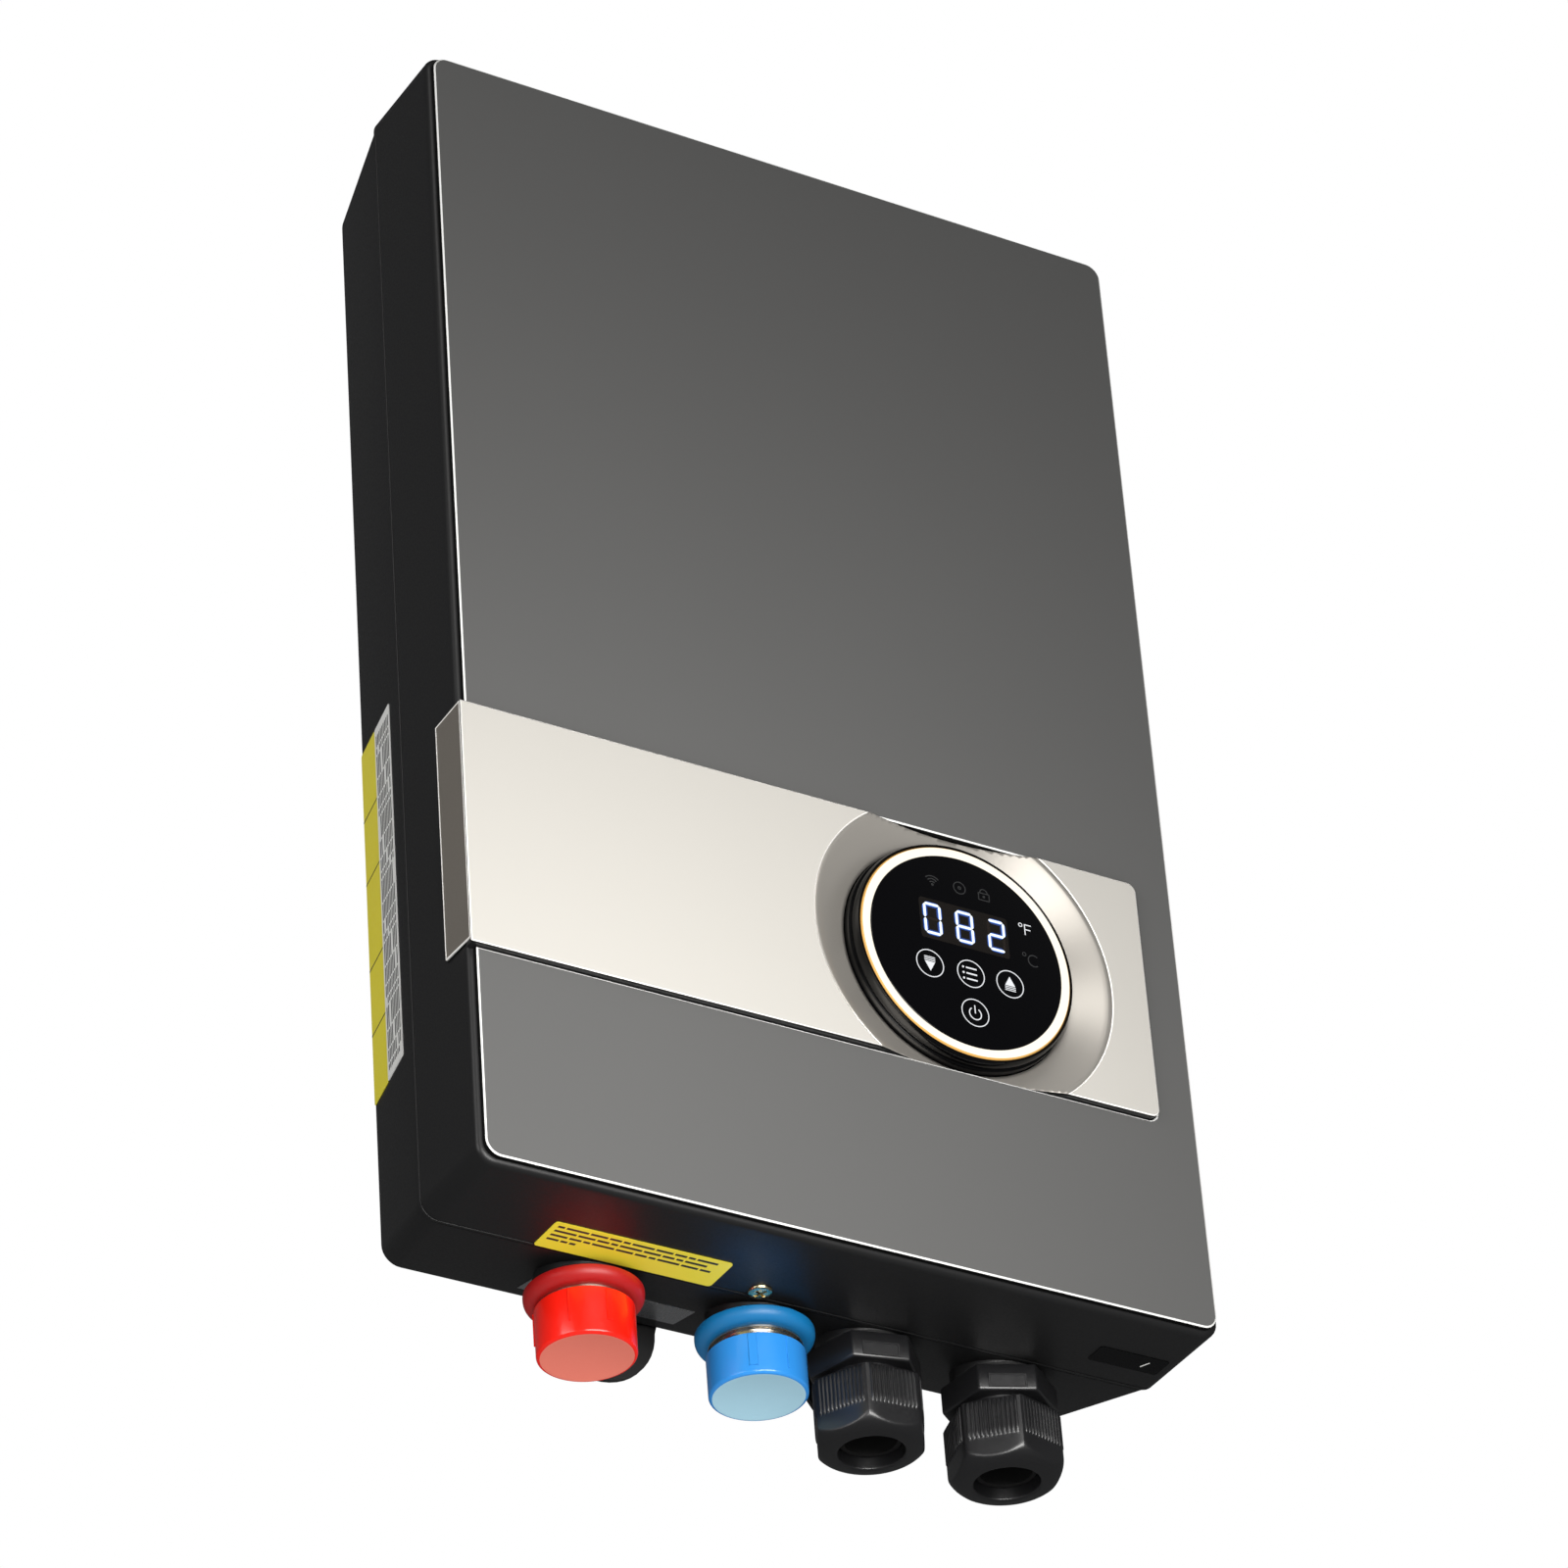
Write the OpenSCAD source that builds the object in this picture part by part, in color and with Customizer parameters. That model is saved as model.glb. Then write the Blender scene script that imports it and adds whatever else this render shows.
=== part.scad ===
// Wall-hung electric on-demand water heater, in millimetres.
// The wall is the plane Y = 0, the front faces -Y and +Z is up.
// X = 0 and Z = 0 are the middle of the case. Distances named d are measured
// from the wall towards the front, and heights named z from the cover's lower edge.

/* [Case] */
// Width of the front cover
cover_w = 253; // [246:1:310]
// Height of the front cover
cover_h = 409; // [405:1:500]
// Depth of the front cover, seam to panel face
cover_d = 38; // [36:0.5:48]
// Distance from the wall to the seam
seam_d = 42; // [42:0.5:50]
// Wall of the front cover
cover_t = 1.5; // [1.2:0.1:2]
// Wall of the rear shell
shell_t = 2.5; // [2:0.1:3]
// How far each side of the rear shell leans inwards towards the wall
lean = 8.2; // [4:0.1:9]
// Corner radius of the case seen from the front
corner_r = 6; // [4:0.5:9]
// Radius of the bend along the cover's front edge
bend_r = 1.8; // [1:0.1:3]
// Thickness of the glossy front panel
panel_t = 2; // [1.5:0.1:3]
// How deep the rear shell's rim reaches inside the cover
rim_d = 6; // [5:0.5:8]

/* [Wall plate] */
// Thickness of the steel wall plate
plate_t = 1.5; // [1.2:0.1:2]
// Distance of each ear's centre from the middle
ear_x = 45; // [40:1:60]
// Radius of an ear's round end
ear_r = 20; // [16:0.5:22]
// How far an ear's end reaches past the case
ear_reach = 13; // [12:0.5:18]
// Diameter of the wall screw holes
wall_hole = 6; // [5:0.1:7]

/* [Accent band] */
// Lower edge of the band
band_z = 72; // [70:1:80]
// Height of the band
band_h = 85; // [84:1:95]
// Distance from the band's right end to the cover's right side
band_end = 15.9; // [12:0.1:20]
// How far the band stands proud of the panel
band_proud = 2; // [1:0.1:3]
// Thickness of the metal-finish skin
band_skin = 0.8; // [0.6:0.1:1.2]
// How far the band wraps round the left side
wrap_d = 13.7; // [10:0.1:18]
// Width of the sloping dish round the display
dish_w = 13.6; // [12:0.1:14.5]
// Slope of the dish, depth over radius
dish_slope = 0.43; // [0.38:0.01:0.46]

/* [Display] */
// Distance from the display's axis to the cover's right side
display_x = 82; // [80:0.1:90]
// Height of the display's axis
display_z = 113.6; // [113:0.1:118]
// Radius of the dark glass
glass_r = 34; // [28:0.5:35]
// Width of the light ring
ring_w = 3.2; // [2.5:0.1:3.5]
// How far the display stands proud of the panel
display_proud = 3; // [2.5:0.1:4]

/* [Water fittings] */
// Outside diameter of a nipple's thread
nipple_d = 26.6; // [22:0.1:27.5]
// Bore of a nipple
nipple_bore = 19; // [16:0.5:19]
// Distance of the fittings' axes from the wall
port_d = 27; // [27:0.5:28]
// Hot outlet, distance to the left of the middle
hot_x = 64; // [62:1:70]
// Cold inlet, distance to the left of the middle
cold_x = 6; // [6:0.5:9]
// Length of thread below the collar
thread_l = 14; // [12:0.5:20]
// Wall of a protective cap
cap_t = 0.9; // [0.8:0.1:1.5]
// Width of the coloured marker ring round a nipple
marker_w = 4.7; // [3:0.1:5]
// Thickness of the marker ring
marker_t = 4.5; // [3:0.1:6]

/* [Cable glands] */
// Thread diameter of a cable gland
gland_d = 25; // [20:0.1:27]
// Left gland, distance to the right of the middle
gland_a_x = 32; // [32:1:34]
// Right gland, distance to the right of the middle
gland_b_x = 79.4; // [76:0.1:90]
// Wall of the rubber seal that grips the supply cable
seal_wall = 1.45; // [1:0.05:2.5]
// Length of the dome nut
dome_l = 21.5; // [20:0.5:26]

/* [Heating] */
// Radius of a heating canister
canister_r = 22; // [19:0.1:26.5]
// Height of the canisters' lower ends
canister_z = 110; // [105:1:115]
// Wall of a canister
canister_t = 1.5; // [1:0.1:2]

/* [Hidden] */
$fn = 72;

gap = 0.3;            // clearance between curved faces that don't touch
fit = 0.05;            // looseness of pieces that sit in one another
run = 0.08;           // running clearance of a shaft in its hole
hull_fn = 32;         // roundness of shapes that are hulled
eps = 0.01;           // thickness of a hulled slice

// Case
panel_d = seam_d + cover_d;
wall_d = panel_d - panel_t;            // outer face of the cover's front wall
inner_d = wall_d - cover_t;            // inner face of the cover's front wall
shell_w = cover_w - 1.4;
shell_h = cover_h - 1;
shell_front = seam_d - gap;
back_d = plate_t + shell_t;            // inner face of the rear shell's back
rim_t = 1.5;
rim_in = cover_t + gap;                // rim's distance inside the cover's outline
boss_r = max(nipple_d, gland_d) / 2 + 1.2;
boss_top = 9.5;

// Ears
ear_root = 5.5;                        // how much wider an ear is at its root, each side
plate_w = shell_w - 2 * lean - 8;
plate_h = shell_h - 2 * lean - 8;
ear_z = cover_h / 2 + ear_reach - ear_r;
hole_z = ear_z + 12;

// Accent band and display
band_d = panel_d + band_proud;
band_right = cover_w / 2 - band_end;
band_left = -cover_w / 2;
band_mid = band_z + band_h / 2;
dish_backing = 0.5;                    // thickness of the carrier behind the dish
glue_t = 0.1;                          // glue between the skin's dish and the carrier
dish_depth = band_skin + dish_backing;
dish_seat = band_skin + 2 * glue_t;
notch_gap = 0.4;                       // gap between the band and the panel
disp_x = cover_w / 2 - display_x;
disp_face = panel_d + display_proud;
ring_r = glass_r + ring_w;
puck_r = ring_r + 2.1;
dish_r = puck_r + dish_w;
glass_t = 1.5;
guide_t = 3.5;                         // depth of the light ring
// The cover's opening just clears the back of the dish
collar_in = dish_r - (band_d - dish_depth - wall_d) / dish_slope + gap;
collar_t = 4;
flange_r = collar_in + collar_t;
// Rear face of the collar, which the housing meets
collar_d = min(inner_d - 1.2, band_d - dish_slope * dish_w - dish_depth - gap);
flange_t = 2;
cup_d = collar_d - 9;                  // rear face of the housing
board_d = disp_face - 6.6;             // rear face of the display board
board_t = 1.6;

// Water fittings
nipple_r = nipple_d / 2;
shank_r = nipple_r - 0.5;
washer_t = 2.2;
collar_r = nipple_r + 0.9;
collar_l = 0.9;
thread_top = -washer_t - marker_t - collar_l;
nipple_end = thread_top - thread_l;
pilot_l = 4;                           // plain end below the thread, which a cap grips
pilot_r = nipple_r - 0.4;
nipple_top = 22;
nut_l = 6;
cap_gap = nipple_r + 0.8;              // inner radius of a cap, clear of the thread
cap_r = cap_gap + cap_t;
cap_end = nipple_end - 0.8;
pipe_r = nipple_bore / 2 + 2.5;
sensor_top = 72;
rotor_z = 46;
rotor_r = nipple_bore / 2 - 0.5;
axle_r = 1;

// Glands
gland_r = gland_d / 2;
gland_bore = gland_r - 3;
gland_washer_t = 1.2;
hex_l = 9;
hex_r = gland_r + 5.4;
neck_gap = 2.2;                        // thread left bare between the hexagon and the dome nut
sleeve_l = dome_l - 9.5;
cage_r = gland_r + 0.1;
dome_top = -gland_washer_t - hex_l - neck_gap;
dome_end = dome_top - dome_l;
dome_af = 2 * gland_r + 7.5;
nut_r = gland_r + 5.7;                 // rounded corners of the dome nut
dome_h = 8;
mouth_r = gland_r - 2.4;
seal_l = 14;
seal_top = dome_top - 3.5;
seal_r = gland_bore - fit - seal_wall;

// Heating
canister_d = back_d + 1 + canister_r;
canister_l = cover_h - 169;
canister_top = canister_z + canister_l;
neck_l = 8;
throat_r = canister_r - 7.2;           // opening under a head
gasket_t = 1.5;
head_t = 7;
bolts = 4;
rod_x = 8;
rod_r = 3.4;
stud_top = canister_top + gasket_t + head_t + 16;
cross_z = canister_top - 25;
cross_boss = canister_r + 2;
cross_r = 7;
clamp_t = 1.5;
clamp_w = 14;
clamp_z = [canister_z + 76, canister_z + 170];
stat_z = canister_z + 120;
stat_d = canister_d + canister_r + gap;
button_r = 2.5;

// Electronics
board_left = canister_r - cold_x + 4;
board_right = 110;
board_x = (board_left + board_right) / 2;
board_lo = 172;
board_h = 150;
post_top = 14;
power_t = 1.6;
sink_lo = cover_h - 74;                // the heat sink hangs above the top chassis screws
sink_h = 50;
block_z = 46;
block_h = 20;
block_w = 34;
block_top = 30;
lead_r = 2.2;
lead_x = 27;
lead_z = 302;
pole_pitch = 9.5;
pole_x = [-pole_pitch, 0, pole_pitch];
tail_w = pole_pitch + lead_r + 0.2;    // half width of the board's supply terminals

// The captive screw that locks the cover to the shell's rim
lock_x = -15.3;
lock_d = seam_d + 4.6;
lock_r = 2;
nut_z = rim_in + rim_t + 0.2;

// Route of the flat lead to the display, as [x, d, z]
display_route = [
  [disp_x, cup_d - 9, display_z], [disp_x, cup_d - 16, display_z + 1],
  [disp_x + 3, cup_d - 22, display_z + 8], [disp_x + 8, cup_d - 25, display_z + 20],
  [disp_x + 12, cup_d - 27, 150], [disp_x + 14, cup_d - 31, 166],
  [disp_x + 14, 31, 184], [disp_x + 14, 24, 192]
];

module at(x, d, z) translate([x, -d, z - cover_h / 2]) children();

module rounded(w, h, r) {
  square([w - 2 * r, h], center = true);
  square([w, h - 2 * r], center = true);
  for (sx = [-1, 1], sz = [-1, 1]) translate([sx * (w / 2 - r), sz * (h / 2 - r)]) circle(r);
}

// A plate seen from the front, filling the distances d0 to d1 from the wall
module from_wall(d0, d1) translate([0, -d0, 0]) rotate([90, 0, 0]) linear_extrude(d1 - d0) children();

// A turned shape about a front-to-back axis, its profile given as [radius, distance]
module turned(profile) rotate([90, 0, 0]) rotate_extrude() polygon(profile);

module rod(r, d0, d1) translate([0, -d0, 0]) rotate([90, 0, 0]) cylinder(r = r, h = d1 - d0);

module block(x0, x1, d0, d1, z0, z1) at(x0, d1, z0) cube([x1 - x0, d1 - d0, z1 - z0]);

module upright(x, d, z0, z1, r) at(x, d, z0) cylinder(r = r, h = z1 - z0);

// Rear shell outline at distance d from the wall, moved in by inset
function lean_at(d) = lean * (shell_front - d) / (shell_front - plate_t);
module shell_slice(d, inset) from_wall(d, d + eps)
  rounded(shell_w - 2 * (lean_at(d) + inset), shell_h - 2 * (lean_at(d) + inset), corner_r, $fn = hull_fn);

module tapered(d0, d1, inset) hull() { shell_slice(d0, inset); shell_slice(d1 - eps, inset); }

// A round tube swept along points given as [x, d, z]
function unit(v) = v / norm(v);
function space(p) = [p[0], -p[1], p[2] - cover_h / 2];
function heading(pts, i) = unit(pts[min(i + 1, len(pts) - 1)] - pts[max(i - 1, 0)]);
function carried(ts, u, i = 0) = i == len(ts) ? [] :
  let (v = unit(u - (u * ts[i]) * ts[i])) concat([v], carried(ts, v, i + 1));
module swept(route, r, sides = 8) {
  pts = [for (p = route) space(p)];
  n = len(pts);
  along = [for (i = [0:n - 1]) heading(pts, i)];
  across = carried(along, unit(cross(along[0], [0.3, 0.5, 1])));
  rings = [for (i = [0:n - 1]) let (u = across[i], v = cross(along[i], u))
    for (k = [0:sides - 1]) pts[i] + r * (cos(360 * k / sides) * u + sin(360 * k / sides) * v)];
  skin = [for (i = [0:n - 2], k = [0:sides - 1]) let (a = i * sides + k, b = i * sides + (k + 1) % sides)
    [a, b, b + sides, a + sides]];
  ends = [[for (k = [sides - 1:-1:0]) k], [for (k = [0:sides - 1]) (n - 1) * sides + k]];
  polyhedron(points = rings, faces = concat([for (f = skin) [f[3], f[2], f[1], f[0]]],
    [for (f = ends) [for (k = [sides - 1:-1:0]) f[k]]]), convexity = 4);
}

// ---------- case ----------

module ear(side, end) {
  at(side * ear_x, 0, cover_h / 2 + end * ear_z) rotate([90, 0, 0]) linear_extrude(plate_t) {
    circle(ear_r);
    polygon([[-ear_r, 0], [ear_r, 0], [ear_r + ear_root, -end * ear_r], [-ear_r - ear_root, -end * ear_r]]);
  }
}

module mounting_plate() color("dimgray") difference() {
  union() {
    from_wall(0, plate_t) rounded(plate_w, plate_h, corner_r);
    for (side = [-1, 1], end = [-1, 1]) ear(side, end);
  }
  for (side = [-1, 1], end = [-1, 1])
    at(side * ear_x, 0, cover_h / 2 + end * hole_z) rod(wall_hole / 2, -1, plate_t + 1);
  for (x = screw_x, z = screw_z) at(x, 0, z) rod(chassis_screw_r + gap, -1, plate_t + 1);
}

chassis_screw_r = 1.7;
screw_in = 30.5;                       // chassis screws' distance in from the cover's sides
screw_x = [screw_in - cover_w / 2, cover_w / 2 - screw_in];
screw_z = [30, 150, cover_h - 81];
post_x = [board_left + 5, board_right - 5];
post_z = [board_lo + 36, board_lo + board_h - 5];

module rear_shell() color("#242424") difference() {
  union() {
    difference() {
      tapered(plate_t, shell_front, 0);
      tapered(back_d, shell_front + 1, shell_t);
    }
    from_wall(shell_front, seam_d + rim_d)
      rounded(cover_w - 2 * rim_in, cover_h - 2 * rim_in, corner_r - rim_in);
    for (x = [-hot_x, -cold_x, gland_a_x, gland_b_x]) upright(x, port_d, 0, boss_top, boss_r);
    for (x = post_x, z = post_z) at(x, 0, z) rod(3.5, back_d - 0.5, post_top);
    for (x = screw_x, z = screw_z) at(x, 0, z) rod(4, back_d - 0.5, back_d + 6);
  }
  from_wall(shell_front - 1, seam_d + rim_d + 1)
    rounded(cover_w - 2 * (rim_in + rim_t), cover_h - 2 * (rim_in + rim_t), corner_r - rim_in - rim_t / 2);
  for (x = [-hot_x, -cold_x]) upright(x, port_d, -1, boss_top + 1, shank_r + gap);
  for (x = [gland_a_x, gland_b_x]) upright(x, port_d, -1, boss_top + 1, gland_r + gap);
  for (x = post_x, z = post_z) at(x, 0, z) rod(1.8, back_d + 1, post_top + 1);
  for (x = screw_x, z = screw_z) at(x, 0, z) rod(chassis_screw_r + 0.1, 0, back_d + 5);
  // open slot in the rim for the cover's captive screw
  block(lock_x - lock_r - gap, lock_x + lock_r + gap, lock_d, seam_d + rim_d + 1, -1, 6);
  upright(lock_x, lock_d, -1, 6, lock_r + gap);
}

module chassis_screws() color("silver") for (x = screw_x, z = screw_z) at(x, 0, z) {
  rod(chassis_screw_r, 0.6, back_d + 4);
  rod(chassis_screw_r + gap - 0.05, 0.2, plate_t - 0.3);
}

wall_tilt = atan(lean / (shell_front - plate_t));
label_t = 0.3;
fitting_label = [53, 13, label_t];
fitting_label_d = 15.5;
side_label_size = [label_t, 30, 126];
side_label_d = 17;
side_label_z = 125;
module fitting_plate() color("lightgray") difference() {
  at(-hot_x + 14.5, fitting_label_d, lean_at(fitting_label_d) + 0.5 - label_t) rotate([wall_tilt, 0, 0])
    cube(fitting_label, center = true);
  upright(-hot_x, port_d, -4, 12, boss_r + 0.5);
}
module side_label() color("white")
  at(-(shell_w / 2 - lean_at(side_label_d)) - label_t / 2 - 0.02, side_label_d, side_label_z)
    rotate([0, 0, -wall_tilt]) cube(side_label_size, center = true);

// ---------- water fittings ----------

module nipple(x) difference() {
  union() {
    upright(x, port_d, nipple_end, nipple_end + pilot_l + eps, pilot_r);
    upright(x, port_d, nipple_end + pilot_l, thread_top, nipple_r);
    upright(x, port_d, thread_top, thread_top + collar_l, collar_r);
    upright(x, port_d, thread_top + collar_l, nipple_top, shank_r);
  }
  upright(x, port_d, nipple_end - 1, nipple_top + 1, nipple_bore / 2);
}
module hot_nipple() color("silver") nipple(-hot_x);
module cold_nipple() color("silver") nipple(-cold_x);

module marker_ring(x) difference() {
  upright(x, port_d, -washer_t - marker_t, -washer_t, nipple_r + marker_w);
  upright(x, port_d, -washer_t - marker_t - 1, 0, shank_r + gap);
}
module hot_marker_ring() color("#b00c06") marker_ring(-hot_x);
module cold_marker_ring() color("#0f6ea8") marker_ring(-cold_x);

module washer(x, z0, t, r_in, r_out) difference() {
  upright(x, port_d, z0, z0 + t, r_out);
  upright(x, port_d, z0 - 1, z0 + t + 1, r_in);
}
module sealing_washers() color("black") {
  for (x = [-hot_x, -cold_x]) washer(x, -washer_t, washer_t, shank_r + gap, boss_r);
  for (x = [gland_a_x, gland_b_x]) washer(x, -gland_washer_t, gland_washer_t, gland_r + gap, boss_r);
}

module hex_nut(x, z0, l, across, r_hole) difference() {
  at(x, port_d, z0) cylinder(d = across / cos(30), h = l, $fn = 6);
  upright(x, port_d, z0 - 1, z0 + l + 1, r_hole);
}
port_nut_af = 33;                      // across flats
module port_nuts() color("goldenrod")
  for (x = [-hot_x, -cold_x]) hex_nut(x, boss_top, nut_l, port_nut_af, shank_r + gap);

module pipe(x, z0, z1, r_in, r_out) difference() {
  upright(x, port_d, z0, z1, r_out);
  upright(x, port_d, z0 - 1, z1 + 1, r_in);
}

probe_z = 62;
module outlet_pipe() color("#b87333") difference() {
  union() {
    upright(-hot_x, port_d, nipple_top, canister_z - neck_l, pipe_r);
    at(-hot_x, 0, probe_z) rod(6, port_d, port_d + pipe_r + 3);
  }
  upright(-hot_x, port_d, nipple_top - 1, canister_z - neck_l + 1, nipple_bore / 2);
  at(-hot_x, 0, probe_z) rod(3.2, port_d, port_d + pipe_r + 4);
}
module outlet_probe() color("gold") at(-hot_x, 0, probe_z) {
  rod(2.8, port_d + 2, port_d + pipe_r + 3);
  translate([0, -(port_d + pipe_r + 3), 0]) rotate([90, 0, 0]) cylinder(r = 6, h = 5, $fn = 6);
  rod(2.2, port_d + pipe_r + 8, port_d + pipe_r + 15);
}

module spider(z) {
  for (a = [0, 90]) at(-cold_x, port_d, z) rotate([0, 0, a]) translate([-nipple_bore / 2 - 0.5, -1, 0])
    cube([nipple_bore + 1, 2, 3]);
  upright(-cold_x, port_d, z, z + 3, 3);
}
module flow_sensor_body() color("#303030") difference() {
  union() {
    difference() {
      union() {
        upright(-cold_x, port_d, nipple_top, sensor_top, pipe_r + 2);
        block(-cold_x - 8, -cold_x + 8, port_d + 6, port_d + pipe_r + 9, 36, 58);
      }
      upright(-cold_x, port_d, nipple_top - 1, sensor_top + 1, nipple_bore / 2);
    }
    spider(rotor_z - 12);
    spider(rotor_z + 9);
  }
  upright(-cold_x, port_d, rotor_z - 13, rotor_z + 13, axle_r + run);
}
module flow_turbine() color("white") {
  upright(-cold_x, port_d, rotor_z - 11, rotor_z + 11, axle_r);
  upright(-cold_x, port_d, rotor_z - 7, rotor_z + 7, 3);
  for (a = [0:60:300]) at(-cold_x, port_d, rotor_z) rotate([0, 0, a]) rotate([30, 0, 0])
    translate([2, -0.5, -6]) cube([rotor_r - 2.6, 1, 12]);
}
module inlet_filter() color("gainsboro") difference() {
  upright(-cold_x, port_d, 6, 20, nipple_bore / 2 - gap);
  upright(-cold_x, port_d, 7, 21, nipple_bore / 2 - 1.3);
  for (i = [-2:2], k = [-2:2]) upright(-cold_x + 2.8 * i, port_d + 2.8 * k, 5, 8, 0.9);
}
module inlet_pipe() color("#b87333") pipe(-cold_x, sensor_top, canister_z - neck_l, nipple_bore / 2, pipe_r);

// A cap whose open rim stays the distance drop below the nipple's collar
module cap(x, drop) {
  difference() {
    upright(x, port_d, cap_end - 1.2, thread_top - drop, cap_r);
    upright(x, port_d, cap_end, thread_top + 1, cap_gap);
  }
  for (a = [0:60:300]) at(x, port_d, cap_end - 0.5) rotate([0, 0, a])
    translate([pilot_r + run, -0.6, 0]) cube([cap_r - 0.3 - pilot_r - run, 1.2, pilot_l]);
}
module hot_cap() color("#ff1a0e") cap(-hot_x, gap);
module cold_cap() color("#2f8fd8") cap(-cold_x, 2.3);

// ---------- cable glands ----------

// Each gland's hexagons are turned by the given angles
module gland_body(x, turn) difference() {
  union() {
    upright(x, port_d, -gland_washer_t - 1, 20, gland_r);
    at(x, port_d, -gland_washer_t - hex_l) rotate([0, 0, 30 + turn]) cylinder(r = hex_r, h = hex_l, $fn = 6);
    upright(x, port_d, dome_top - sleeve_l, -gland_washer_t - hex_l + 1, cage_r);
  }
  upright(x, port_d, dome_top - sleeve_l - 1, 21, gland_bore);
}
module gland_body_a() color("#101010") gland_body(gland_a_x, 17);
module gland_body_b() color("#101010") gland_body(gland_b_x, 7);

module gland_seals() color("#1a1a1a") for (x = [gland_a_x, gland_b_x]) difference() {
  upright(x, port_d, seal_top - seal_l, seal_top, gland_bore - fit);
  upright(x, port_d, seal_top - seal_l - 1, seal_top + 1, seal_r);
}

module gland_locknuts() color("#151515")
  for (x = [gland_a_x, gland_b_x]) hex_nut(x, boss_top, 5, 2 * gland_r + 6, gland_r + gap);

function dome_outer(t) = mouth_r + 1.2 + (nut_r - mouth_r - 1.2) * sqrt(1 - t * t);
module gland_nut(x, turn) difference() {
  intersection() {
    at(x, port_d, dome_end) rotate([0, 0, turn]) cylinder(r = dome_af / 2 / cos(30), h = dome_l, $fn = 6);
    at(x, port_d, dome_top) rotate_extrude() polygon(concat(
      [[0, 0], [nut_r, 0]],
      [for (i = [0:6]) [dome_outer(i / 6), -dome_l + dome_h * (1 - i / 6)]],
      [[0, -dome_l]]));
  }
  at(x, port_d, dome_top) rotate_extrude() polygon([
    [0, 1], [cage_r + run, 1], [cage_r + run, -sleeve_l - 1], [gland_bore + gap, 3 - dome_l],
    [mouth_r, 2 - dome_l], [mouth_r, -dome_l - 1], [0, -dome_l - 1]]);
}
module gland_nut_a() color("#0c0c0c") gland_nut(gland_a_x, 58);
module gland_nut_b() color("#0c0c0c") gland_nut(gland_b_x, 16);

// ---------- heating ----------

module head_holes(x, r, z0, z1) for (k = [0:bolts - 1]) at(x, canister_d, z0)
  rotate([0, 0, 45 + k * 360 / bolts]) translate([canister_r - 3.5, 0, 0]) cylinder(r = r, h = z1 - z0);

module canister(x, side) difference() {
  union() {
    upright(x, canister_d, canister_z, canister_top, canister_r);
    upright(x, port_d, canister_z - neck_l, canister_z + 1, pipe_r);
    at(x, canister_d, cross_z) rotate([0, side * 90, 0]) cylinder(r = cross_r + 2, h = cross_boss);
  }
  upright(x, canister_d, canister_z + 3, canister_top - 8, canister_r - canister_t);
  upright(x, canister_d, canister_top - 9, canister_top + 1, throat_r);
  upright(x, port_d, canister_z - neck_l - 1, canister_z + 4, nipple_bore / 2);
  at(x, canister_d, cross_z) rotate([0, side * 90, 0]) cylinder(r = cross_r - 1.5, h = cross_boss + 1);
  head_holes(x, 1.8, canister_top - 7, canister_top + 1);
}
module canister_hot() color("#b87333") canister(-hot_x, 1);
module canister_cold() color("#b87333") canister(-cold_x, -1);

module crossover_pipe() color("#b87333") difference() {
  at(-hot_x + cross_boss, canister_d, cross_z) rotate([0, 90, 0])
    cylinder(r = cross_r, h = hot_x - cold_x - 2 * cross_boss);
  at(-hot_x + cross_boss - 1, canister_d, cross_z) rotate([0, 90, 0])
    cylinder(r = cross_r - 1.5, h = hot_x - cold_x - 2 * cross_boss + 2);
}

module head_gaskets() color("darkred") for (x = [-hot_x, -cold_x]) difference() {
  upright(x, canister_d, canister_top, canister_top + gasket_t, canister_r);
  upright(x, canister_d, canister_top - 1, canister_top + gasket_t + 1, throat_r);
  head_holes(x, 2.1, canister_top - 1, canister_top + gasket_t + 1);
}

head_z = canister_top + gasket_t;
bend_z = canister_z + 30;
module element(x) {
  difference() {
    upright(x, canister_d, head_z, head_z + head_t, canister_r);
    head_holes(x, 2.1, head_z - 1, head_z + head_t + 1);
  }
  for (side = [-1, 1]) {
    upright(x + side * rod_x, canister_d, bend_z, head_z + 1, rod_r);
    upright(x + side * rod_x, canister_d, head_z + head_t - 1, head_z + head_t + 6, 4.2);
    upright(x + side * rod_x, canister_d, head_z + head_t + 5, stud_top, 2);
  }
  at(x, canister_d, bend_z) intersection() {
    rotate([90, 0, 0]) rotate_extrude() translate([rod_x, 0]) circle(rod_r);
    translate([-20, -20, -20]) cube([40, 40, 20]);
  }
}
module element_hot() color("silver") element(-hot_x);
module element_cold() color("silver") element(-cold_x);

module head_bolts() color("gray") for (x = [-hot_x, -cold_x]) {
  head_holes(x, 1.6, canister_top - 5, head_z + head_t + 1);
  head_holes(x, 3, head_z + head_t, head_z + head_t + 3);
}

module clamp_outline(grow) for (x = [-hot_x, -cold_x]) {
  translate([x, canister_d]) circle(canister_r + grow);
  translate([x - canister_r - grow, back_d]) square([2 * (canister_r + grow), canister_d - back_d]);
}
module canister_clamps() color("lightsteelblue") for (z = clamp_z) at(0, 0, z) mirror([0, 1, 0])
  linear_extrude(clamp_w) difference() {
    union() {
      clamp_outline(gap + clamp_t);
      translate([-hot_x - canister_r - 9, back_d]) square([hot_x - cold_x + 2 * canister_r + 18, clamp_t]);
    }
    clamp_outline(gap);
    for (x = [-hot_x, -cold_x]) translate([x - canister_r - gap, back_d - 1])
      square([2 * (canister_r + gap), canister_d - back_d]);
  }

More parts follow.
